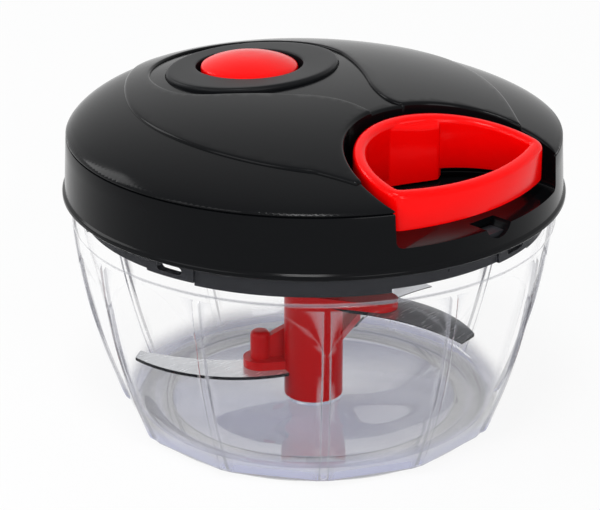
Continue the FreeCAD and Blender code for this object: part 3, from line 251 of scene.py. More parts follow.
def clear_styrene(name, tint, base):
    # Moulded clear styrene acrylonitrile: all but invisible where the wall is thin and even, and
    # lavender grey in the thick base. Rings of painted shade and painted highlight on the base stand
    # in for the light that its steps bend. Painted shade along its ribs and edges stands in for the
    # light that the real part bends away there. The bowl's "edge" attribute holds where that painted shade
    # goes.
    made, tree, shader = new_material(name, IOR=1.57, Roughness=0.04, Specular_IOR_Level=0.8,
                                      Coat_Weight=1.0, Coat_IOR=1.5, Coat_Roughness=0.02)
    spot = add_node(tree, "TexCoord", (-1800, 300))
    parts = add_node(tree, "SeparateXYZ", (-1600, 500), {"Vector": spot.outputs["Object"]})
    depth = add_node(tree, "MapRange", (-1400, 500), {"Value": parts.outputs["Z"]},
                     interpolation_type="SMOOTHSTEP", From_Min=BASE_THICK, From_Max=BASE_THIN,
                     To_Min=1.0, To_Max=0.0)
    flat = add_node(tree, "Mapping", (-1600, 200), {"Vector": spot.outputs["Object"]}, Scale=(1, 1, 0))
    reach = add_node(tree, "VectorMath", (-1400, 200), {0: flat.outputs["Vector"]}, operation="LENGTH")
    share = add_node(tree, "MapRange", (-1200, 200), {"Value": reach.outputs["Value"]},
                     From_Min=0.0, From_Max=BASE_REACH)
    # Painted shade and painted highlight in rings across the thick base, by its reach.
    rings = add_node(tree, "ValToRGB", (-1000, 200), {"Fac": share.outputs["Result"]})
    for place, _factor in BASE_RING_SHADES[2:]:
        rings.color_ramp.elements.new(place)
    for stop, (place, factor) in zip(rings.color_ramp.elements, BASE_RING_SHADES):
        stop.position = place
        stop.color = (*tone(base, factor), 1)
    edge = add_node(tree, "Attribute", (-1400, -200), attribute_name="edge")
    body = add_node(tree, "MixRGB", (-700, 300), {"Fac": depth.outputs["Result"],
                                                  "Color2": rings.outputs["Color"]}, Color1=(*tint, 1))
    # Painted shade: along the edges the colour goes towards a dark tone of the base.
    painted_edge_colour = add_node(tree, "MixRGB", (-500, 200), {"Fac": edge.outputs["Fac"],
                                                 "Color1": body.outputs["Color"]},
                   Color2=(*tone(base, 0.16), 1))
    tree.links.new(painted_edge_colour.outputs["Color"], shader.inputs["Base Color"])
    side = add_node(tree, "LayerWeight", (-1400, -400), Blend=0.5)
    slant = add_node(tree, "MapRange", (-1200, -400), {"Value": side.outputs["Facing"]},
                     interpolation_type="SMOOTHSTEP", From_Min=0.72, From_Max=0.98,
                     To_Min=WALL_HIDES, To_Max=SLANT_HIDES)
    thick = add_node(tree, "Math", (-1000, -100), {0: depth.outputs["Result"], 1: BASE_HIDES},
                     operation="MULTIPLY")
    line = add_node(tree, "Math", (-1000, -250), {0: edge.outputs["Fac"], 1: EDGE_HIDES},
                    operation="MULTIPLY")
    both = add_node(tree, "Math", (-800, -200), {0: thick.outputs["Value"], 1: line.outputs["Value"]},
                    operation="MAXIMUM")
    seen = add_node(tree, "Math", (-600, -200), {0: both.outputs["Value"], 1: slant.outputs["Result"]},
                    operation="ADD", use_clamp=True)
    tree.links.new(seen.outputs["Value"], shader.inputs["Alpha"])
    flow = uneven_pattern(tree, 14 * MM, 1.0, (-800, -600), (1, 1, 0.4))
    follow(tree, shader, flow, relief=(0.1, 0.05 * MM))
    return made


def polished_abs(name, base, gloss=0.14, level=0.07):
    # Moulded ABS from a polished tool: deep colour, clear reflections that waver
    # a little, and patches made duller by handling. The reflections are set as weak as
    # the photograph shows them.
    made, tree, shader = new_material(name, Base_Color=(*base, 1), Roughness=gloss, IOR=1.54,
                                      Specular_IOR_Level=level)
    moulded(tree, shader, base, (gloss * 0.85, gloss * 1.25), 22, 4.0, 1.8, 0.05)
    return made


def spark_eroded_pp(name, base, dull=0.42):
    # Moulded polypropylene from a spark-eroded tool: satin, with an even grain
    # of about 0.3 mm, drawn at 0.8 mm so that it shows.
    made, tree, shader = new_material(name, Base_Color=(*base, 1), Roughness=dull, IOR=1.49,
                                      Specular_IOR_Level=0.16)
    moulded(tree, shader, base, (dull * 0.85, dull * 1.2), 18, 3.0, 0.8, 0.15)
    return made


def brushed_stainless(name, base, dull=0.24, grain=0.3, stretch=(0.12, 1, 1), cut=None):
    # Rolled and brushed stainless steel: a grey mirror drawn out across fine parallel
    # scratches of about 0.1 mm, drawn wider so that they show. A blade's cut sides are painted
    # near black: partly their ground finish, partly painted shade for the dark reflections along
    # them. Its faces are part matt, so that they stay light under the dark lid.
    made, tree, shader = new_material(name, Base_Color=(*base, 1), Metallic=0.6 if cut else 1.0,
                                      Roughness=dull)
    scratch = uneven_pattern(tree, grain * MM, 3.0, (-800, 0), stretch)
    follow(tree, shader, scratch, (tone(base, 0.88), tone(base, 1.06)), (dull * 0.75, dull * 1.35),
           (0.2, 0.01 * MM))
    # Painted shade on the cut sides: faces that turn sideways take the near-black colour, over the brushed
    # steel's own.
    if cut:
        brushed = shader.inputs["Base Color"].links[0].from_socket
        facing = add_node(tree, "TexCoord", (-800, 500))
        parts = add_node(tree, "SeparateXYZ", (-600, 500), {"Vector": facing.outputs["Normal"]})
        upright = add_node(tree, "Math", (-400, 500), {0: parts.outputs["Z"]}, operation="ABSOLUTE")
        flat = add_node(tree, "MapRange", (-200, 500), {"Value": upright.outputs["Value"]},
                        From_Min=0.35, From_Max=0.6)
        mix = add_node(tree, "MixRGB", (0, 400), {"Fac": flat.outputs["Result"], "Color2": brushed},
                       Color1=(*cut, 1))
        tree.links.new(mix.outputs["Color"], shader.inputs["Base Color"])
    return made


def acetal_copolymer(name, base):
    # Moulded acetal for gears and drums: milky and waxy, a little see-through at its edges.
    made, tree, shader = new_material(name, Base_Color=(*base, 1), Roughness=0.38, IOR=1.48,
                                      Subsurface_Weight=0.15, Subsurface_Radius=(0.002, 0.0018, 0.0015),
                                      Subsurface_Scale=0.5)
    moulded(tree, shader, base, (0.32, 0.46), 9, 2.0, 0.8, 0.15, (0.94, 1.03))
    return made


def braided_nylon(name, base):
    # Braided nylon cord of 1.8 mm: strands of about 0.5 mm that cross at a slant.
    made, tree, shader = new_material(name, Base_Color=(*base, 1), Roughness=0.7, Sheen_Weight=0.2,
                                      Sheen_Roughness=0.4)
    spot = add_node(tree, "TexCoord", (-1200, 0))
    slant = add_node(tree, "Mapping", (-1000, 0), {"Vector": spot.outputs["Object"]},
                     Rotation=(0.6, 0.5, 0.6))
    strands = add_node(tree, "TexWave", (-800, 0), {"Vector": slant.outputs["Vector"]},
                       Scale=0.3 / (0.5 * MM), Distortion=0.6, Detail=2.0)
    follow(tree, shader, strands.outputs["Fac"], (tone(base, 0.62), base), relief=(0.8, 0.15 * MM))
    return made


def finish(name):
    """The material of one of the object's finishes, made the first time that it is asked for."""
    ready = bpy.data.materials.get(name)
    if ready:
        return ready
    tints = settings("colours")
    makers = {
        "moulded_clear_styrene": lambda: clear_styrene(name, tints.clear, tints.base),
        "polished_black_abs": lambda: polished_abs(name, tints.cover),
        "satin_black_abs": lambda: polished_abs(name, tints.bezel, 0.35, 0.08),
        "spark_eroded_black_pp": lambda: spark_eroded_pp(name, tints.inner),
        "polished_red_abs": lambda: polished_abs(name, tints.handle, 0.18, 0.1),
        "moulded_red_pp": lambda: spark_eroded_pp(name, tints.hub, 0.3),
        "brushed_stainless_blade": lambda: brushed_stainless(name, tints.steel, cut=tints.cut),
        "drawn_stainless_wire": lambda: brushed_stainless(name, tints.steel, 0.3, 0.15, (1, 1, 1)),
        "moulded_acetal": lambda: acetal_copolymer(name, tints.acetal),
        "braided_nylon_cord": lambda: braided_nylon(name, tints.cord),
    }
    return makers[name]()


# Pieces

def smooth_by_angle(mesh, angle):
    """Smooth shading, with edges that turn by more than the angle left sharp."""
    mesh.shade_smooth()
    mesh.set_sharp_from_angle(angle=math.radians(angle))


def new_object(name, bm):
    """Makes a bmesh an object of the scene."""
    mesh = bpy.data.meshes.new(name)
    bm.to_mesh(mesh)
    bm.free()
    item = bpy.data.objects.new(name, mesh)
    bpy.context.scene.collection.objects.link(item)
    return item


def new_piece(name, bm, material, body, nodes, angle=35):
    """Makes a bmesh a piece that rides on a body and stands for CAD nodes."""
    piece = new_object(name, bm)
    piece.data.materials.append(finish(material))
    if "custom_normal" in piece.data.attributes:
        piece.data.attributes.remove(piece.data.attributes["custom_normal"])
    smooth_by_angle(piece.data, angle)
    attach(piece, body)
    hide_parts(*nodes)
    return piece


def body_of_node(node):
    """The body that a CAD node belongs to."""
    groups = frame["record"]["behaviour"]["bodies"]
    return [body for body, members in groups.items() if node in members][0]


def carried(node, material, angle=35, more=None):
    """A CAD node's own shape, with its triangles joined, smoothly shaded in a better material."""
    bm = bmesh.new()
    bm.from_mesh(frame["nodes"][node].data)
    bmesh.ops.remove_doubles(bm, verts=bm.verts, dist=0.002 * MM)
    if more:
        mesh = bpy.data.meshes.new("more")
        more.to_mesh(mesh)
        more.free()
        bm.from_mesh(mesh)
        bpy.data.meshes.remove(mesh)
    for face in bm.faces:
        face.material_index = 0
    return new_piece("dressed_" + node, bm, material, body_of_node(node), [node],
                     angle)


# Shapes

def loft(loops, joined=True):
    """Skin through closed loops of as many points each, by extruding each loop's edges to the next."""
    bm = bmesh.new()
    ring = [bm.verts.new(spot) for spot in loops[0]]
    edges = [bm.edges.new((first, last)) for first, last in zip(ring, ring[1:] + ring[:1])]
    for loop in loops[1:] + (loops[:1] if joined else []):
        grown = bmesh.ops.extrude_edge_only(bm, edges=edges)["geom"]
        new = {vert for vert in grown if isinstance(vert, bmesh.types.BMVert)}
        ring = [[edge.other_vert(vert) for edge in vert.link_edges if edge.other_vert(vert) in new][0]
                for vert in ring]
        for vert, spot in zip(ring, loop):
            vert.co = spot
        edges = [item for item in grown if isinstance(item, bmesh.types.BMEdge)]
    bmesh.ops.remove_doubles(bm, verts=bm.verts, dist=0.0005 * MM)
    bmesh.ops.recalc_face_normals(bm, faces=bm.faces)
    return bm


def turned(profile, steps, middle_y=0.0):
    """Solid of revolution about an upright axis, from (radius, height) points."""
    bm = bmesh.new()
    spots = [bm.verts.new((reach, 0.0, tall)) for reach, tall in profile]
    edges = [bm.edges.new(pair) for pair in zip(spots, spots[1:])]
    if profile[0][0] > 0 and profile[-1][0] > 0:
        edges.append(bm.edges.new((spots[-1], spots[0])))
    bmesh.ops.spin(bm, geom=spots + edges, cent=(0, 0, 0), axis=(0, 0, 1), dvec=(0, 0, 0),
                   angle=FULL_TURN, steps=steps, use_merge=True, use_duplicate=False)
    bmesh.ops.remove_doubles(bm, verts=bm.verts, dist=0.0005 * MM)
    bmesh.ops.recalc_face_normals(bm, faces=bm.faces)
    bmesh.ops.translate(bm, verts=bm.verts, vec=(0.0, middle_y, 0.0))
    return bm


def rounded(corner, before, after, bend, steps=5):
    """Points of a rounded corner between the points before and after it."""
    spot = Vector(corner)
    into = (Vector(before) - spot).normalized()
    out = (Vector(after) - spot).normalized()
    half = into.angle(out) / 2
    centre = spot + (into + out).normalized() * (bend / math.sin(half))
    start = spot + into * (bend / math.tan(half)) - centre
    end = spot + out * (bend / math.tan(half)) - centre
    sweep = math.atan2(start.x * end.y - start.y * end.x, start.dot(end))
    return [tuple(centre + Matrix.Rotation(sweep * step / steps, 2) @ start)
            for step in range(steps + 1)]


def soft_profile(points):
    """A profile from points in millimetres; a third number is the radius of the point's corner."""
    made = []
    for place, point in enumerate(points):
        spot = (point[0] * MM, point[1] * MM)
        if len(point) == 2:
            made.append(spot)
            continue
        before = [value * MM for value in points[place - 1][:2]]
        after = [value * MM for value in points[(place + 1) % len(points)][:2]]
        made += rounded(spot, before, after, point[2] * MM)
    return made


def drum(radius, low, high, x=0.0, y=0.0, steps=96):
    """Upright round block."""
    bm = bmesh.new()
    place = Matrix.Translation((x, y, (low + high) / 2))
    bmesh.ops.create_cone(bm, cap_ends=True, segments=steps, radius1=radius, radius2=radius,
                          depth=high - low, matrix=place)
    return bm


def oval(long, wide, low, high, y, steps=160):
    """Upright oval block."""
    bm = drum(1.0, low, high, steps=steps)
    bmesh.ops.scale(bm, vec=(long, wide, 1.0), verts=bm.verts)
    bmesh.ops.translate(bm, vec=(0.0, y, 0.0), verts=bm.verts)
    return bm


def bar(radius, start, along, long, steps=48):
    """Round block from a point in a direction."""
    bm = bmesh.new()
    aim = along.to_track_quat("Z", "Y").to_matrix().to_4x4()
    bmesh.ops.create_cone(bm, cap_ends=True, segments=steps, radius1=radius, radius2=radius, depth=long,
                          matrix=Matrix.Translation(start + along * (long / 2)) @ aim)
    return bm


def carve(base, tools, operation="DIFFERENCE"):
    """Takes the tools away from the base, or adds them or keeps what they share."""
    item = new_object("scratch", base)
    cutters = [new_object("scratch", tool) for tool in tools]
    for cutter in cutters:
        modifier = item.modifiers.new("carve", "BOOLEAN")
        modifier.operation = operation
        modifier.solver = "EXACT"
        modifier.object = cutter
    bpy.context.view_layer.update()
    done = item.evaluated_get(bpy.context.evaluated_depsgraph_get())
    bm = bmesh.new()
    bm.from_mesh(done.to_mesh())
    done.to_mesh_clear()
    for scratch in [item] + cutters:
        mesh = scratch.data
        bpy.data.objects.remove(scratch)
        bpy.data.meshes.remove(mesh)
    return bm


def arc_points(start, end, bend, gap):
    """Points of an arc between two points, about gap apart; a positive bend turns left on the way."""
    first, last = Vector(start), Vector(end)
    chord = last - first
    left = Vector((-chord.y, chord.x)).normalized()
    rise = math.sqrt(bend ** 2 - chord.length_squared / 4)
    centre = (first + last) / 2 + left * math.copysign(rise, bend)
    sweep = 2 * math.asin(chord.length / 2 / abs(bend)) * math.copysign(1, bend)
    steps = max(2, round(abs(sweep * bend) / gap))
    return [tuple(centre + Matrix.Rotation(sweep * step / steps, 2) @ (first - centre))
            for step in range(1, steps + 1)]


def outline_points(corners, gap):
    """Closed outline in metres from corners in millimetres: (x, y), or (x, y, bend) after an arc."""
    made = []
    for place, step in enumerate(corners):
        start = [value * MM for value in corners[place - 1][:2]]
        end = [value * MM for value in step[:2]]
        bend = step[2] * MM if len(step) == 3 else 1.0
        made += arc_points(start, end, bend, gap)
    return made


def inset(points, shrink):
    """A closed outline that turns left, moved inwards."""
    made = []
    for place, point in enumerate(points):
        way = (Vector(points[(place + 1) % len(points)]) - Vector(points[place - 1])).normalized()
        made.append((point[0] - way.y * shrink, point[1] + way.x * shrink))
    return made


def depth_inside(spots, outline):
    """How far each spot of an array lies inside a closed outline; negative outside it."""
    nearest = np.full(len(spots), np.inf)
    inside = np.zeros(len(spots), bool)
    for start, end in zip(outline, outline[1:] + outline[:1]):
        first, side = np.array(start), np.array(end) - np.array(start)
        ray = spots - first
        share = np.clip(ray @ side / (side @ side), 0, 1)
        nearest = np.minimum(nearest, np.hypot(*(ray - share[:, None] * side).T))
        crosses = (spots[:, 1] < start[1]) != (spots[:, 1] < end[1])
        with np.errstate(divide="ignore", invalid="ignore"):
            at = start[0] + (spots[:, 1] - start[1]) * side[0] / side[1]
        inside ^= crosses & (spots[:, 0] < at)
    return np.where(inside, nearest, -nearest)


def quarter_round(depth, wide):
    """Rises from 0 to 1 along a quarter circle over a width, from a steep foot."""
    share = np.clip(depth / wide, 0, 1)
    return np.sqrt(1 - (1 - share) ** 2)


def quarter_turn(steps):
    """Sine and cosine at the steps of a quarter turn."""
    turns = [math.pi / 2 * step / steps for step in range(steps + 1)]
    return [(math.sin(turn), math.cos(turn)) for turn in turns]


# The cover's leaning dome and its raised panels

# Powers that shape the dome: how full it is, how round its shoulder is, and how far down
# its leaning rings stay under its top.
BELLY = 2.5
EDGE = 1.37
SKEW = 4.3

# Plan of the raised panels' border and of the valley between them, in millimetres,
# each as the point that an arc leads to and the arc's radius.
BORDER = [(-30.5, -46), (-34.8, -36.1), (-46.4, -2, -62), (-38.3, 29.3, -54), (-14.5, 54.5, -87),
          (24, 54, -36), (52.6, 1, -55), (35.8, -36.2, -105), (29, -46)]
VALLEY = [(-2.3, -31), (-2.3, -19), (-7.5, -4.4, 23), (-22.8, 12.4, 210), (-27.4, 27.5, -16.5),
          (0.4, 50.7, -29), (26.4, 30.5, -26.7), (24.5, 13.5, -27), (12.4, -7.4, -130),
          (7.4, -17.5, 40), (13, -30, 10.5)]

# Outside of the cover below the dome, as radius and height in millimetres: the groove under
# the shoulder, the skirt and its lip.
SKIRT = [(64.24, 79.2), (63.9, 79.1), (63.8, 78.95), (63.95, 78.8), (64.28, 78.72), (64.36, 78.5),
         (64.54, 74.9), (64.74, 71.1), (64.92, 67.4), (65.05, 64.9), (65.35, 64.62), (65.6, 64.42),
         (65.68, 64.2), (65.68, 63.5), (65.5, 63.3)]

# Fineness of the cover's top: between an outline's points, between the points of the grid,
# and from the grid to an outline, and the longest step that still belongs to one outline.
OUTLINE_GAP = 0.9 * MM
GRID_GAP = 1.6 * MM
GRID_CLEAR = 1.3 * MM
LONGEST_STEP = 2.5 * MM


def dome_ring(part):
    """Radius, middle along Y and height of the dome's ring at a part of its radius."""
    cover = settings("cover")
    rise = cover.rise * max(0.0, 1 - part ** BELLY) ** (1 / EDGE)
    return cover.shoulder_r * part, cover.lean * (1 - part ** SKEW), cover.shoulder_z + rise


def dome_rings(count):
    """The dome's rings from its top to its shoulder, closer together near the shoulder."""
    return [dome_ring(math.sin(math.pi / 2 * ring / count) ** 0.9) for ring in range(count + 1)]


def dome_heights(spots):
    """Height of the plain dome over each spot of an array."""
    cover = settings("cover")
    reach, lean, low_z, rise = cover.shoulder_r, cover.lean, cover.shoulder_z, cover.rise
    low, high = np.zeros(len(spots)), np.ones(len(spots))
    for _halving in range(36):
        part = (low + high) / 2
        outside = np.hypot(spots[:, 0], spots[:, 1] - lean * (1 - part ** SKEW)) > reach * part
        low, high = np.where(outside, part, low), np.where(outside, high, part)
    return low_z + rise * np.maximum(0, 1 - high ** BELLY) ** (1 / EDGE)


def cover_heights(spots):
    """Height of the cover over each spot: the dome, its raised panels and the pocket's lip."""
    cover = settings("cover")
    border = depth_inside(spots, left_turning(BORDER))
    valley = depth_inside(spots, left_turning(VALLEY))
    lift = cover.raised * quarter_round(border, cover.raised_edge) \
        * quarter_round(-valley, cover.raised_edge)
    away = np.hypot(spots[:, 0], spots[:, 1] - cover.pocket_y) - cover.pocket_r
    plain = dome_heights(spots)
    over_rim = np.clip((plain - cover.shoulder_z) / (2 * cover.lip), 0, 1)
    drop = cover.lip * (1 - quarter_round(away, cover.lip)) * over_rim
    return plain + lift - drop


def left_turning(corners, gap=OUTLINE_GAP):
    """An outline's points in the order that turns left."""
    points = outline_points(corners, gap)
    area = sum(a[0] * b[1] - b[0] * a[1] for a, b in zip(points, points[1:] + points[:1]))
    return points if area > 0 else points[::-1]


def circle_points(radius, middle_y, count):
    """Points of a circle round a place on the middle line, turning left."""
    turns = [FULL_TURN * step / count for step in range(count)]
    return [(radius * math.cos(turn), middle_y + radius * math.sin(turn)) for turn in turns]


def cover_top(count):
    """The cover's top as triangles between the dome's rings and the lines of its edges.

    No operator follows edges like these, so the plan is divided into triangles that keep
    the edges' lines, and its points are then raised to the cover's height."""
    cover = settings("cover")
    lines = []
    for depth in (0.0, 0.04, 0.14, 0.32, 0.55, 0.8):
        lines.append(inset(left_turning(BORDER), depth * MM))
        lines.append(inset(left_turning(VALLEY), -depth * MM))
    for away in (0.02, 0.12, 0.3, 0.55, 0.9):
        lines.append(circle_points(cover.pocket_r + away * MM, cover.pocket_y, 208))
    kept = [(circle_points(cover.shoulder_r, 0.0, count), True)]
    for line in lines:
        inside = [spot for spot in line if math.hypot(*spot) < cover.shoulder_r - 0.05 * MM]
        kept.append((inside, len(inside) == len(line)))
    grid = []
    for reach, middle, _height in dome_rings(44)[1:-1]:
        grid += circle_points(reach, middle, max(8, round(FULL_TURN * reach / GRID_GAP)))
    grid = np.array(grid)
    clear = np.ones(len(grid), bool)
    for outline in (left_turning(BORDER), left_turning(VALLEY)):
        clear &= np.abs(depth_inside(grid, outline)) > GRID_CLEAR
    clear &= np.abs(np.hypot(grid[:, 0], grid[:, 1] - cover.pocket_y) - cover.pocket_r) > GRID_CLEAR
    points, edges = [], []
    for line, whole in kept:
        first = len(points)
        points += line
        for step in range(len(line) - (0 if whole else 1)):
            here, there = line[step], line[(step + 1) % len(line)]
            if math.dist(here, there) < LONGEST_STEP:
                edges.append((first + step, first + (step + 1) % len(line)))
    points += [tuple(spot) for spot in grid[clear]]
    spots, _edges, faces, *_origins = delaunay_2d_cdt([Vector(p) for p in points], edges, [], 0, 1e-7)
    heights = cover_heights(np.array([tuple(spot) for spot in spots]))
    bm = bmesh.new()
    verts = [bm.verts.new((spot.x, spot.y, tall)) for spot, tall in zip(spots, heights)]
    for face in faces:
        bm.faces.new([verts[corner] for corner in face])
    return bm


def cover_outside(count):
    """Closed outer form of the cover: its top, the groove at the shoulder, the skirt and its lip."""
    bm = cover_top(count)
    edges = [edge for edge in bm.edges if edge.is_boundary]
    for reach, tall in SKIRT:
        grown = bmesh.ops.extrude_edge_only(bm, edges=edges)["geom"]
        edges = [item for item in grown if isinstance(item, bmesh.types.BMEdge)]
        for vert in [item for item in grown if isinstance(item, bmesh.types.BMVert)]:
            way = Vector((vert.co.x, vert.co.y)).normalized() * reach * MM
            vert.co = (way.x, way.y, tall * MM)
    bmesh.ops.contextual_create(bm, geom=edges)
    bmesh.ops.recalc_face_normals(bm, faces=bm.faces)
    return bm


# The cover's posts, and the holes in them that its screws cut their thread in.
POST_R = 4 * MM
THREAD_R = 1.45 * MM
SCREW_REACH = 50 * MM

# The way that the cord leaves the lid, 20 degrees off the lid's middle line.
CORD_WAY = Vector((-math.sin(math.radians(20)), -math.cos(math.radians(20)), 0))


def cover_room():
    """The hollow of the cover, clear of the pocket's tub, the posts and the bezel's seat."""
    cover = settings("cover")
    button = settings("button")
    drop = cover.wall + 0.4 * MM
    low, ledge, high = 60 * MM, 68 * MM, 100 * MM
    skirt_r, ledge_r = 63.9 * MM, 62.2 * MM
    spool_post_z, screw_post_z = 73.7 * MM, 62.3 * MM
    profile = [(0.0, low), (skirt_r, low), (skirt_r, ledge), (ledge_r, ledge)]
    table = []
    for reach, middle, tall in reversed(dome_rings(40)):
        profile.append((reach * (cover.shoulder_r - cover.wall) / cover.shoulder_r, tall - drop))
        table.append((tall - drop, middle))
    bm = turned(profile, 176)
    heights, middles = zip(*table)
    for vert in bm.verts:
        vert.co.y += float(np.interp(vert.co.z, heights, middles))
    kept = [drum(cover.pocket_r + 2 * MM, ledge, high, 0.0, cover.pocket_y, 160),
            drum(POST_R, spool_post_z, high, steps=40),
            oval(button.bezel_long + 1.5 * MM, button.bezel_wide + 1.5 * MM, button.bezel_z - 1.8 * MM,
                 high, button.bezel_y)]
    for x, y in screw_spots():
        kept.append(drum(POST_R, screw_post_z, high, x, y, 40))
    return carve(bm, kept)


def screw_spots():
    """Places of the three lid screws."""
    turns = [math.radians(-30 + 120 * number) for number in range(3)]
    return [(SCREW_REACH * math.cos(turn), SCREW_REACH * math.sin(turn)) for turn in turns]


def build_cover():
    """The glossy cover, with everything that opens in it carved out of its outer form."""
    cover = settings("cover")
    button = settings("button")
    floor, reach, above = cover.pocket_z / MM, cover.pocket_r / MM, 105
    play, high = 0.15 * MM, 100 * MM
    pocket = turned(soft_profile([(0, floor), (reach, floor, 1.6), (reach, above), (0, above)]), 208,
                    cover.pocket_y)
    seat = oval(button.bezel_long + play, button.bezel_wide + play, button.bezel_z, high, button.bezel_y)
    well = drum(button.well_r + 1.3 * MM, 70 * MM, high, 0.0, button.well_y)
    finger_dip = bar(4.7 * MM, Vector((0, -58.7, 71.7)) * MM, Vector((0, -1, 0)), 20 * MM)
    guide_low, guide_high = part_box("cord_guide")
    guide_hole = bar(2.35 * MM, (guide_low + guide_high) / 2 - CORD_WAY * 10 * MM, CORD_WAY, 20 * MM)
    tools = [cover_room(), pocket, seat, well, finger_dip, drum(THREAD_R, 73.2 * MM, 84 * MM, steps=24),
             guide_hole]
    for x, y in screw_spots():
        tools.append(drum(THREAD_R, 61 * MM, 72.3 * MM, x, y, 24))
    bm = carve(cover_outside(240), tools)
    new_piece("cover", bm, "polished_black_abs", "lid", ["lid_shell"], 32)


def spigot_web():
    """Thin wall that closes the upper part of the notches between the inner cover's four tabs."""
    inner, outer, low, high = 59.4, 60.7, 58.1, 65
    first, sweep = 153.6, 30.6
    bm = bmesh.new()
    for number in range(4):
        start = Matrix.Rotation(math.radians(first + 90 * number), 3, "Z")
        corners = [start @ Vector((reach * MM, 0, tall * MM))
                   for reach, tall in ((inner, low), (outer, low), (outer, high), (inner, high))]
        face = bm.faces.new([bm.verts.new(spot) for spot in corners])
        bmesh.ops.spin(bm, geom=[face] + list(face.edges) + list(face.verts), cent=(0, 0, 0),
                       axis=(0, 0, 1), dvec=(0, 0, 0), angle=math.radians(sweep), steps=16,
                       use_merge=False, use_duplicate=False)
    bmesh.ops.recalc_face_normals(bm, faces=bm.faces)
    return bm


# Bezel, button and handle

def ring_loop(long, wide, middle_y, tall, count=160):
    """Loop of an oval, at one height or at heights from a function of its points."""
    loop = []
    for step in range(count):
        turn = FULL_TURN * step / count
        x, y = long * math.cos(turn), middle_y + wide * math.sin(turn)
        loop.append((x, y, tall(x, y) if callable(tall) else tall))
    return loop


def build_bezel():
    """The oval plate that follows the dome, with the button's well in it."""
    button = settings("button")
    well, outer, wide = button.well_r, button.bezel_long, button.bezel_wide
    chamfer, edge, lip, dip = 0.3 * MM, 0.9 * MM, 0.5 * MM, 0.5 * MM
    sleeve, stem, floor = 1.2 * MM, 2.45 * MM, 1 * MM

    def above(lift):
        """Height over the plain dome, as a function of the place."""
        return lambda x, y: float(dome_heights(np.array([[x, y]]))[0]) + lift

    loops = [ring_loop(well + sleeve, well + sleeve, button.well_y, button.bezel_z),
             ring_loop(outer - chamfer, wide - chamfer, button.bezel_y, button.bezel_z),
             ring_loop(outer, wide, button.bezel_y, button.bezel_z + chamfer)]
    for sine, cosine in quarter_turn(6):
        inwards = edge * (1 - cosine)
        lift = button.bezel_raise - edge * (1 - sine)
        loops.append(ring_loop(outer - inwards, wide - inwards, button.bezel_y, above(lift)))
    for step in range(1, 8):
        share = step / 8
        long = outer - edge + (well + lip - outer + edge) * share
        broad = wide - edge + (well + lip - wide + edge) * share
        middle = button.bezel_y + (button.well_y - button.bezel_y) * share
        loops.append(ring_loop(long, broad, middle, above(button.bezel_raise - dip * share)))
    for sine, cosine in quarter_turn(4):
        reach = well + lip * (1 - sine)
        drop = lip * (1 - cosine) + dip
        loops.append(ring_loop(reach, reach, button.well_y, above(button.bezel_raise - drop)))
    for reach, tall in ((well, button.well_z + 0.6 * MM), (well - 0.6 * MM, button.well_z),
                        (stem, button.well_z), (stem, button.well_z - floor),
                        (well + sleeve, button.well_z - floor)):
        loops.append(ring_loop(reach, reach, button.well_y, tall))
    new_piece("bezel", loft(loops), "satin_black_abs", "lid", ["button_bezel"], 40)


def build_button():
    """The domed button with its skirt, its stem and the hook that holds it in the well."""
    button = settings("button")
    reach, top = button.button_r / MM, button.button_top / MM
    wall, flat, crown_drop, crown_steps = 1.5, 1.0, 2.1, 13
    stem, hook, plate_low, skirt_low = 2.4, 3.2, 89.4, 87.7
    floor = button.well_z / MM - 1
    profile = [(0, floor - 1.5), (2.6, floor - 1.5), (hook, floor - 0.9), (hook, floor - 0.3),
               (stem, floor - 0.3), (stem, plate_low), (reach - wall, plate_low),
               (reach - wall, skirt_low), (reach, skirt_low), (reach, top - 2.9, 0.9)]
    for step in range(crown_steps, -1, -1):
        share = step / crown_steps
        profile.append((flat + (reach - wall - flat) * share, top - crown_drop * share ** 2))
    bm = turned(soft_profile(profile + [(0, top)]), 144, button.well_y)
    new_piece("button", bm, "polished_red_abs", "button", ["push_button"])


def ring_outline(corner_steps=12, back_steps=84, front_steps=56):
    """Outline of the handle's ring, each point with the way that its side faces."""
    handle = settings("handle")
    pocket_y = settings("cover").pocket_y
    front, back, corner = handle.front_r, handle.back_r, handle.corner
    y = -((front - corner) ** 2 - (back - corner) ** 2 + pocket_y ** 2) / (2 * abs(pocket_y))
    x = math.sqrt((front - corner) ** 2 - y ** 2)
    right = math.atan2(y - pocket_y, x)
    front_right = math.atan2(y, x)
    arcs = [((0.0, pocket_y), back, right, math.pi - right, back_steps),
            ((-x, y), corner, math.pi - right, math.pi - front_right, corner_steps),
            ((0.0, 0.0), front, -math.pi - front_right, front_right, front_steps),
            ((x, y), corner, front_right, right, corner_steps)]
    made = []
    for centre, reach, start, end, steps in arcs:
        for step in range(steps):
            turn = start + (end - start) * step / steps
            way = Vector((math.cos(turn), math.sin(turn)))
            made.append((Vector(centre) + way * reach, way))
    return made


def ring_height(y):
    """Height of the handle's sloping top."""
    handle = settings("handle")
    return handle.top + (y - handle.pivot_y) * math.tan(handle.slope)


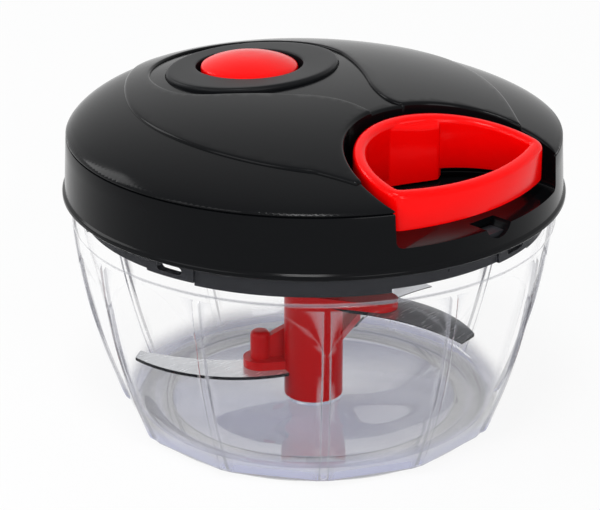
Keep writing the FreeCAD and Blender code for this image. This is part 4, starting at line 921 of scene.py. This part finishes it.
def build_handle():
    """The ring with its rounded edges, and the block that holds the cord's knot."""
    handle = settings("handle")
    wall, bead, foot, nick = handle.wall, handle.bead, 0.4 * MM, 0.12 * MM
    section = [(foot, "low", 0.0), (nick, "low", nick), (0.0, "low", foot)]
    section += [(bead * (1 - cosine), "top", bead * (1 - sine)) for sine, cosine in quarter_turn(6)]
    section += [(wall - bead * (1 - sine), "top", bead * (1 - cosine)) for sine, cosine in quarter_turn(6)]
    section += [(wall, "low", foot), (wall - nick, "low", nick), (wall - foot, "low", 0.0)]
    outline = ring_outline()
    loops = []
    for inwards, side, away in section:
        loop = []
        for spot, way in outline:
            x, y = spot - way * inwards
            tall = handle.low + away if side == "low" else ring_height(y) - away
            loop.append((x, y, tall))
        loops.append(loop)
    bm = carve(loft(loops), [cord_block()], "UNION")
    knot_low, knot_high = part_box("cord_end")
    knot, knot_r = (knot_low + knot_high) / 2, 2.1 * MM
    nest = drum(knot_r, 72 * MM, knot.z + knot_r, knot.x, knot.y, 40)
    bore = bar(1.0 * MM, knot - CORD_WAY * 10 * MM, CORD_WAY, 12 * MM, 24)
    bm = carve(bm, [nest, bore])
    new_piece("handle", bm, "polished_red_abs", "handle", ["pull_handle"], 40)


def cord_block():
    """The block inside the ring's back that holds the cord's knot, rounded off to a nose in front."""
    handle = settings("handle")
    pocket_y = settings("cover").pocket_y
    band = handle.back_r - handle.wall / 2
    left_x, right_x, nose = -6.5 * MM, 14.5 * MM, (11.5 * MM, -33.5 * MM)
    nose_r, sag, fall, clear = 1.4 * MM, 1.2 * MM, 9 * MM, 0.4 * MM
    middle_z = 78 * MM
    left = math.atan2(math.sqrt(band ** 2 - left_x ** 2), left_x)
    right = math.atan2(math.sqrt(band ** 2 - right_x ** 2), right_x)
    plan = []
    for step in range(25):
        turn = right + (left - right) * step / 24
        plan.append((band * math.cos(turn), pocket_y + band * math.sin(turn)))
    start = plan[-1]
    for step in range(1, 14):
        share = step / 14
        bow = sag * math.sin(math.pi * share) * (1 - share)
        plan.append((start[0] + (nose[0] - start[0]) * share + bow * 0.5,
                     start[1] + (nose[1] - start[1]) * share + bow))
    plan += rounded(nose, start, plan[0], nose_r)
    top = []
    for x, y in plan:
        back = math.hypot(x, y - pocket_y) / band
        top.append((x, y, ring_height(y) - clear - fall * (1 - min(1.0, back))))
    low = settings("cover").pocket_z + 0.8 * MM
    bm = loft([[(x, y, low) for x, y in plan], top], joined=False)
    for upper in (False, True):
        level = [edge for edge in bm.edges if edge.is_boundary
                 and (edge.verts[0].co.z > middle_z) == upper]
        bmesh.ops.contextual_create(bm, geom=level)
    bmesh.ops.recalc_face_normals(bm, faces=bm.faces)
    rims = [edge for edge in bm.edges if all(vert.co.z > middle_z for vert in edge.verts)]
    bmesh.ops.bevel(bm, geom=rims, offset=0.9 * MM, segments=4, profile=0.5, affect="EDGES", material=-1)
    return bm


# Bowl

# Its form in millimetres, where each point is a radius and a height: the round side, the flat
# panels with the arch that each runs out in, the inner side, the panels' wall, and the least
# inner radius that the blades need.
SIDE = ((49, 1.5), (62.8, 55.6), 158)
PANEL = ((47.775, 1.5), (59.17, 42), 158)
ARCH_TOP = (62.8, 54.6)
INSIDE = ((49.2, 8), (61.3, 57.3), 600)
WALL = 1.9
INNER_LEAST = 49.3

# Lines that are round all the way: from the foot's middle outwards, and from the inner side
# to the middle of the floor, with the floor's rings and the boss's bore.
FOOT = [(0, 0.6), (40.7, 0.6), (41, 0.3), (41.3, 0), (45.7, 0), (46.6, 0.2)]
FLOOR = [(42.7, 3.6), (42.5, 3.5), (42.5, 3.2), (42.3, 3.1), (38.7, 3.1), (38.5, 3.0), (38.5, 2.7),
         (38.3, 2.6), (7.9, 2.6), (7.6, 2.75), (7.5, 3.1), (7.2, 3.4), (2.0, 3.4), (2.0, 0.8), (0, 0.8)]

# Heights of the levels of the side, closer where it bends more.
LEVELS = [1.5, 2.0, 2.5, 3.0, 3.6, 4.4, 5.5, 7.0, 9.0] + [12 + 3 * step for step in range(10)]
LEVELS += [40.5, 42, 43.5, 45, 46.5, 48, 49.5, 50.8, 51.8, 52.6, 53.2, 53.7, 54.1, 54.35, 54.6, 55.1]

# Where a half panel's flat part and the strip beside it end, and how far a rib's bead reaches.
FLAT_END = 0.5
STRIP_END = 0.7
BEAD_REACH = 1.05


def side_radius(tall, low, high, bulge):
    """Radius at a height of an arc that bulges outwards from its lower point to its upper one."""
    first, last = Vector(low), Vector(high)
    chord = last - first
    out = Vector((chord.y, -chord.x)).normalized()
    centre = (first + last) / 2 - out * math.sqrt(bulge ** 2 - chord.length_squared / 4)
    return centre.x + math.sqrt(bulge ** 2 - (tall - centre.y) ** 2)


def bowl_side(tall):
    """Radius of the bowl's round side, in millimetres."""
    return side_radius(tall, *SIDE)


def inner_side(tall):
    """Radius of the bowl's inner side, in millimetres."""
    return side_radius(tall, *INSIDE)


def panel_distance(tall):
    """Distance of a flat panel from the axis, in millimetres: its top slants out in an arch."""
    reach, foot = PANEL[1]
    if tall < foot:
        return side_radius(tall, *PANEL)
    return reach + (ARCH_TOP[0] - reach) * (tall - foot) / (ARCH_TOP[1] - foot)


def bead_height(off, tall):
    """How far a rib's bead stands out beside its middle line, with round ends, in millimetres."""
    bead = settings("bowl").rib_r / MM
    past = max(0.0, 3.4 - tall, tall - 53.2)
    return math.sqrt(max(0.0, bead ** 2 - off ** 2 - past ** 2))


def bowl_turns():
    """Shares of a half panel, from its middle to its rib, at which the bowl has columns."""
    half = [0.0, 0.09, 0.18, 0.27, 0.36, 0.44, 0.49, 0.51, 0.56, 0.63, 0.7, 0.76, 0.82, 0.88, 0.94]
    return [-share for share in reversed(half[1:])] + half + [1.0]


def bowl_loop(tall, inside=False):
    """One level of the bowl's side: flat panels that meet at round strips, outside with their beads."""
    bowl = settings("bowl")
    half = math.pi / bowl.panels
    reach, flat = bowl_side(tall), panel_distance(tall)
    edge = math.acos(min(1.0, flat / reach))
    strip = half - bowl.rib_r / MM / reach * BEAD_REACH
    loop = []
    for number in range(bowl.panels):
        middle = bowl.rib_turn + half + 2 * half * number
        for signed in bowl_turns():
            share = abs(signed)
            if share <= FLAT_END:
                off = edge * share / FLAT_END
            elif share <= STRIP_END:
                off = edge + (strip - edge) * (share - FLAT_END) / (STRIP_END - FLAT_END)
            else:
                past = (share - STRIP_END) / (1 - STRIP_END)
                off = half - (half - strip) * math.cos(math.pi / 2 * past)
            if inside:
                radius = max(INNER_LEAST, min(inner_side(tall), (flat - WALL) / math.cos(off)))
            else:
                radius = min(reach, flat / math.cos(off)) + bead_height((half - off) * reach, tall)
            turn = middle + math.copysign(off, signed)
            loop.append((radius * math.cos(turn) * MM, radius * math.sin(turn) * MM, tall * MM))
    return loop


def painted_edge_shade(spot):
    """How much painted shade the bowl gets at a point, for the light bent away at rib sides, panel creases,
    floor rings, rim and foot.
    """
    bowl = settings("bowl")
    tall, reach = spot.z / MM, math.hypot(spot.x, spot.y) / MM
    half, rib = math.pi / bowl.panels, bowl.rib_r / MM
    rim = 55.4 < tall < 56.4 and reach > 62.5
    foot = tall < 1.7 and reach > 45
    rings = tall < 4.3 and (38.45 < reach < 42.55 or 43 < reach < 46.5)
    if rim or foot:
        return 0.9
    if rings:
        return 0.55
    if not 1.5 < tall < 55 or reach < panel_distance(tall) - 0.6:
        return 0.0
    turn = (math.atan2(spot.y, spot.x) - bowl.rib_turn) % (2 * half)
    off = min(turn, 2 * half - turn) * reach
    if off < rib * 1.3 and tall < 54.3:
        return max(0.0, 1 - abs(off / rib - 0.92) / 0.25)
    edge = math.acos(min(1.0, panel_distance(tall) / bowl_side(tall)))
    crease = (half - edge) * reach
    return 0.15 if abs(off - crease) < 0.25 else 0.0


def rim_line():
    """Line from the bowl's side over its rim to the inner side, in millimetres."""
    outer, inner, high, bend = settings("bowl").rim_r / MM, 61.5, settings("bowl").rim_z / MM, 0.3
    return [SIDE[1], (outer - 0.25, 55.85), (outer, 56.2), (outer, 56.7), (outer, high - bend),
            (outer - bend, high), (inner + bend, high), (inner, high - bend), (inner, 58.2), INSIDE[1]]


def build_bowl():
    """The clear bowl in one skin, from the foot over the rim to the middle of the floor."""
    outer = [bowl_loop(tall) for tall in LEVELS]
    inner = [bowl_loop(tall, inside=True) for tall in reversed(LEVELS) if 8 < tall < 54.5]
    angles = [math.atan2(spot[1], spot[0]) for spot in outer[4]]

    def even(profile):
        """Loops that are round all the way, with the side's columns."""
        return [[(reach * math.cos(turn) * MM, reach * math.sin(turn) * MM, tall * MM) for turn in angles]
                for reach, tall in profile]

    corner = rounded((47.6, 3.6), INSIDE[0], (45, 3.6), 3.4, 8)
    bm = loft(even(FOOT) + outer + even(rim_line()) + inner + even(corner + FLOOR), joined=False)
    # The "edge" attribute holds where the bowl's material paints shade along its edges.
    painted_shade = bm.verts.layers.float.new("edge")
    for vert in bm.verts:
        vert[painted_shade] = painted_edge_shade(vert.co)
    new_piece("bowl_moulding", bm, "moulded_clear_styrene", "bowl", ["bowl"], 50)


# Stage

# The camera's place in metres, how far it looks down in degrees, the way it looks along the
# floor, and its lens in millimetres, all fitted to the photograph's view.
CAMERA_SPOT = (-0.41065, -0.42228, 0.28451)
CAMERA_PITCH = 22.27
CAMERA_WAY = (0.6927, 0.7212)
LENS = 143.92

# Each lamp's name, place and size in metres, and power in watts.
LAMPS = [("top", (-0.5, -0.4, 1.5), (0.35, 0.35), 9.0), ("side", (-1.3, 0.2, 0.9), (0.9, 0.9), 8.0),
         ("front", (-0.5, -1.8, 0.8), (0.8, 1.2), 14.0), ("back", (-0.5, 1.6, 1.1), (0.7, 0.9), 8.0)]


def shown_white(tree, place):
    """1 for rays from the camera, off gloss or through glass, which see the background as white."""
    path = add_node(tree, "LightPath", (place[0] - 400, place[1]))
    either = add_node(tree, "Math", (place[0] - 200, place[1]),
                      {0: path.outputs["Is Camera Ray"], 1: path.outputs["Is Transmission Ray"]},
                      operation="MAXIMUM")
    both = add_node(tree, "Math", place,
                    {0: either.outputs["Value"], 1: path.outputs["Is Glossy Ray"]}, operation="MAXIMUM")
    return both.outputs["Value"]


def build_stage():
    """The white surroundings, the floor, the lamps and the camera."""
    world = bpy.data.worlds.new("studio")
    bpy.context.scene.world = world
    world.use_nodes = True
    tree = world.node_tree
    tree.nodes.clear()
    soft = add_node(tree, "Background", (0, 100), Color=linear("#eef1f5"), Strength=0.35)
    white = add_node(tree, "Background", (0, -100), Color=linear("#ffffff"), Strength=1.0)
    mix = add_node(tree, "MixShader", (250, 0),
                   {0: shown_white(tree, (-100, 300)), 1: soft.outputs[0], 2: white.outputs[0]})
    add_node(tree, "OutputWorld", (450, 0), {"Surface": mix.outputs[0]})

    bm = bmesh.new()
    bmesh.ops.create_grid(bm, x_segments=1, y_segments=1, size=3.0)
    bmesh.ops.translate(bm, verts=bm.verts, vec=(0, 0, -0.05 * MM))
    floor = new_object("floor", bm)
    floor.data.materials.append(paper_floor())

    for name, spot, size, power in LAMPS:
        data = bpy.data.lights.new(name, "AREA")
        data.shape = "RECTANGLE"
        data.size, data.size_y = size
        data.energy = power
        lamp = bpy.data.objects.new(name, data)
        lamp.location = spot
        aim = Vector((0, 0, 0.05)) - Vector(spot)
        lamp.rotation_euler = aim.to_track_quat("-Z", "Y").to_euler()
        bpy.context.scene.collection.objects.link(lamp)

    data = bpy.data.cameras.new("camera")
    data.lens = LENS
    data.sensor_width = 36.0
    data.clip_end = 20.0
    camera = bpy.data.objects.new("camera", data)
    camera.location = CAMERA_SPOT
    yaw = -math.atan2(CAMERA_WAY[0], CAMERA_WAY[1])
    camera.rotation_euler = (math.radians(90 - CAMERA_PITCH), 0.0, yaw)
    bpy.context.scene.collection.objects.link(camera)
    bpy.context.scene.camera = camera
    bpy.context.scene.view_settings.view_transform = "Standard"


def paper_floor():
    # White seamless paper, shown white to the camera and still taking the soft shadow.
    made, tree, shader = new_material("white_paper", Base_Color=linear("#f4f4f4"), Roughness=0.9)
    grain = uneven_pattern(tree, 2 * MM, 2.0, (-800, 0))
    follow(tree, shader, grain, relief=(0.05, 0.05 * MM))
    glow = add_node(tree, "Emission", (0, -300), Color=linear("#ffffff"), Strength=1.0)
    share = add_node(tree, "Math", (100, 300), {0: shown_white(tree, (-100, 500)), 1: 0.9},
                     operation="MULTIPLY")
    mix = add_node(tree, "MixShader", (300, 0),
                   {0: share.outputs["Value"], 1: shader.outputs[0], 2: glow.outputs[0]})
    tree.links.new(mix.outputs[0], tree.nodes["Material Output"].inputs["Surface"])
    return made


# Operators, one for each group of pieces

class CHOPPER_OT_bowl(bpy.types.Operator):
    """Build the clear twelve-panelled bowl and dress its pin"""
    bl_idname = "chopper.bowl"
    bl_label = "Bowl"

    def execute(self, context):
        build_bowl()
        carried("pivot_pin", "drawn_stainless_wire")
        return {"FINISHED"}


class CHOPPER_OT_cover(bpy.types.Operator):
    """Build the glossy cover with its raised panels and the handle's pocket"""
    bl_idname = "chopper.cover"
    bl_label = "Cover"

    def execute(self, context):
        build_cover()
        carried("lid_base", "spark_eroded_black_pp", more=spigot_web())
        return {"FINISHED"}


class CHOPPER_OT_button(bpy.types.Operator):
    """Build the oval bezel and the button, and dress the button's spring"""
    bl_idname = "chopper.button"
    bl_label = "Button and bezel"

    def execute(self, context):
        build_bezel()
        build_button()
        carried("button_spring", "drawn_stainless_wire", 60)
        return {"FINISHED"}


class CHOPPER_OT_handle(bpy.types.Operator):
    """Build the ring handle"""
    bl_idname = "chopper.handle"
    bl_label = "Handle"

    def execute(self, context):
        build_handle()
        return {"FINISHED"}


class CHOPPER_OT_rotor(bpy.types.Operator):
    """Dress the blade shaft and the three blades"""
    bl_idname = "chopper.rotor"
    bl_label = "Shaft and blades"

    def execute(self, context):
        carried("blade_shaft", "moulded_red_pp")
        for node in ("blade_lower", "blade_middle", "blade_upper"):
            carried(node, "brushed_stainless_blade", 8)
        return {"FINISHED"}


class CHOPPER_OT_drive(bpy.types.Operator):
    """Dress the spool, its spring, the driver and its pawls"""
    bl_idname = "chopper.drive"
    bl_label = "Spool and driver"

    def execute(self, context):
        for node in ("cord_spool", "spring_cover", "drive_hub", "pawl_a", "pawl_b"):
            carried(node, "moulded_acetal")
        carried("return_spring", "drawn_stainless_wire", 60)
        return {"FINISHED"}


class CHOPPER_OT_cord(bpy.types.Operator):
    """Dress the cord with its winding, its knot and the guide in the pocket's wall"""
    bl_idname = "chopper.cord"
    bl_label = "Cord"

    def execute(self, context):
        for node in ("cord_winding", "pull_cord", "cord_end"):
            carried(node, "braided_nylon_cord", 60)
        carried("cord_guide", "moulded_acetal")
        return {"FINISHED"}


class CHOPPER_OT_fasteners(bpy.types.Operator):
    """Dress the screws and the spool's washer"""
    bl_idname = "chopper.fasteners"
    bl_label = "Fasteners"

    def execute(self, context):
        for node in ("lid_screws", "spool_screw", "spool_washer"):
            carried(node, "drawn_stainless_wire")
        return {"FINISHED"}


class CHOPPER_OT_stage(bpy.types.Operator):
    """Set the floor, the soft lamps, the white surroundings and the camera"""
    bl_idname = "chopper.stage"
    bl_label = "Stage"

    def execute(self, context):
        build_stage()
        return {"FINISHED"}


OPERATORS = [CHOPPER_OT_stage, CHOPPER_OT_bowl, CHOPPER_OT_cover, CHOPPER_OT_button, CHOPPER_OT_handle,
             CHOPPER_OT_rotor, CHOPPER_OT_drive, CHOPPER_OT_cord, CHOPPER_OT_fasteners]


class CHOPPER_PT_pieces(bpy.types.Panel):
    """Lists the chopper's pieces and its stage"""
    bl_idname = "CHOPPER_PT_pieces"
    bl_label = "Food chopper"
    bl_space_type = "VIEW_3D"
    bl_region_type = "UI"
    bl_category = "Chopper"

    def draw(self, context):
        column = self.layout.column()
        for operator in OPERATORS:
            column.operator(operator.bl_idname)


def register():
    """Registers the classes and gives the scene its settings."""
    for item in list(SETTINGS.values()) + OPERATORS + [CHOPPER_PT_pieces]:
        bpy.utils.register_class(item)
    for name, group in SETTINGS.items():
        setattr(bpy.types.Scene, name, PointerProperty(type=group))


def unregister():
    """Takes the settings and the classes away again."""
    for name in SETTINGS:
        delattr(bpy.types.Scene, name)
    for item in reversed(list(SETTINGS.values()) + OPERATORS + [CHOPPER_PT_pieces]):
        bpy.utils.unregister_class(item)


def main():
    """Builds the stage and every piece."""
    register()
    for operator in OPERATORS:
        getattr(bpy.ops.chopper, operator.bl_idname.split(".")[1])()


if __name__ == "__main__":
    main()
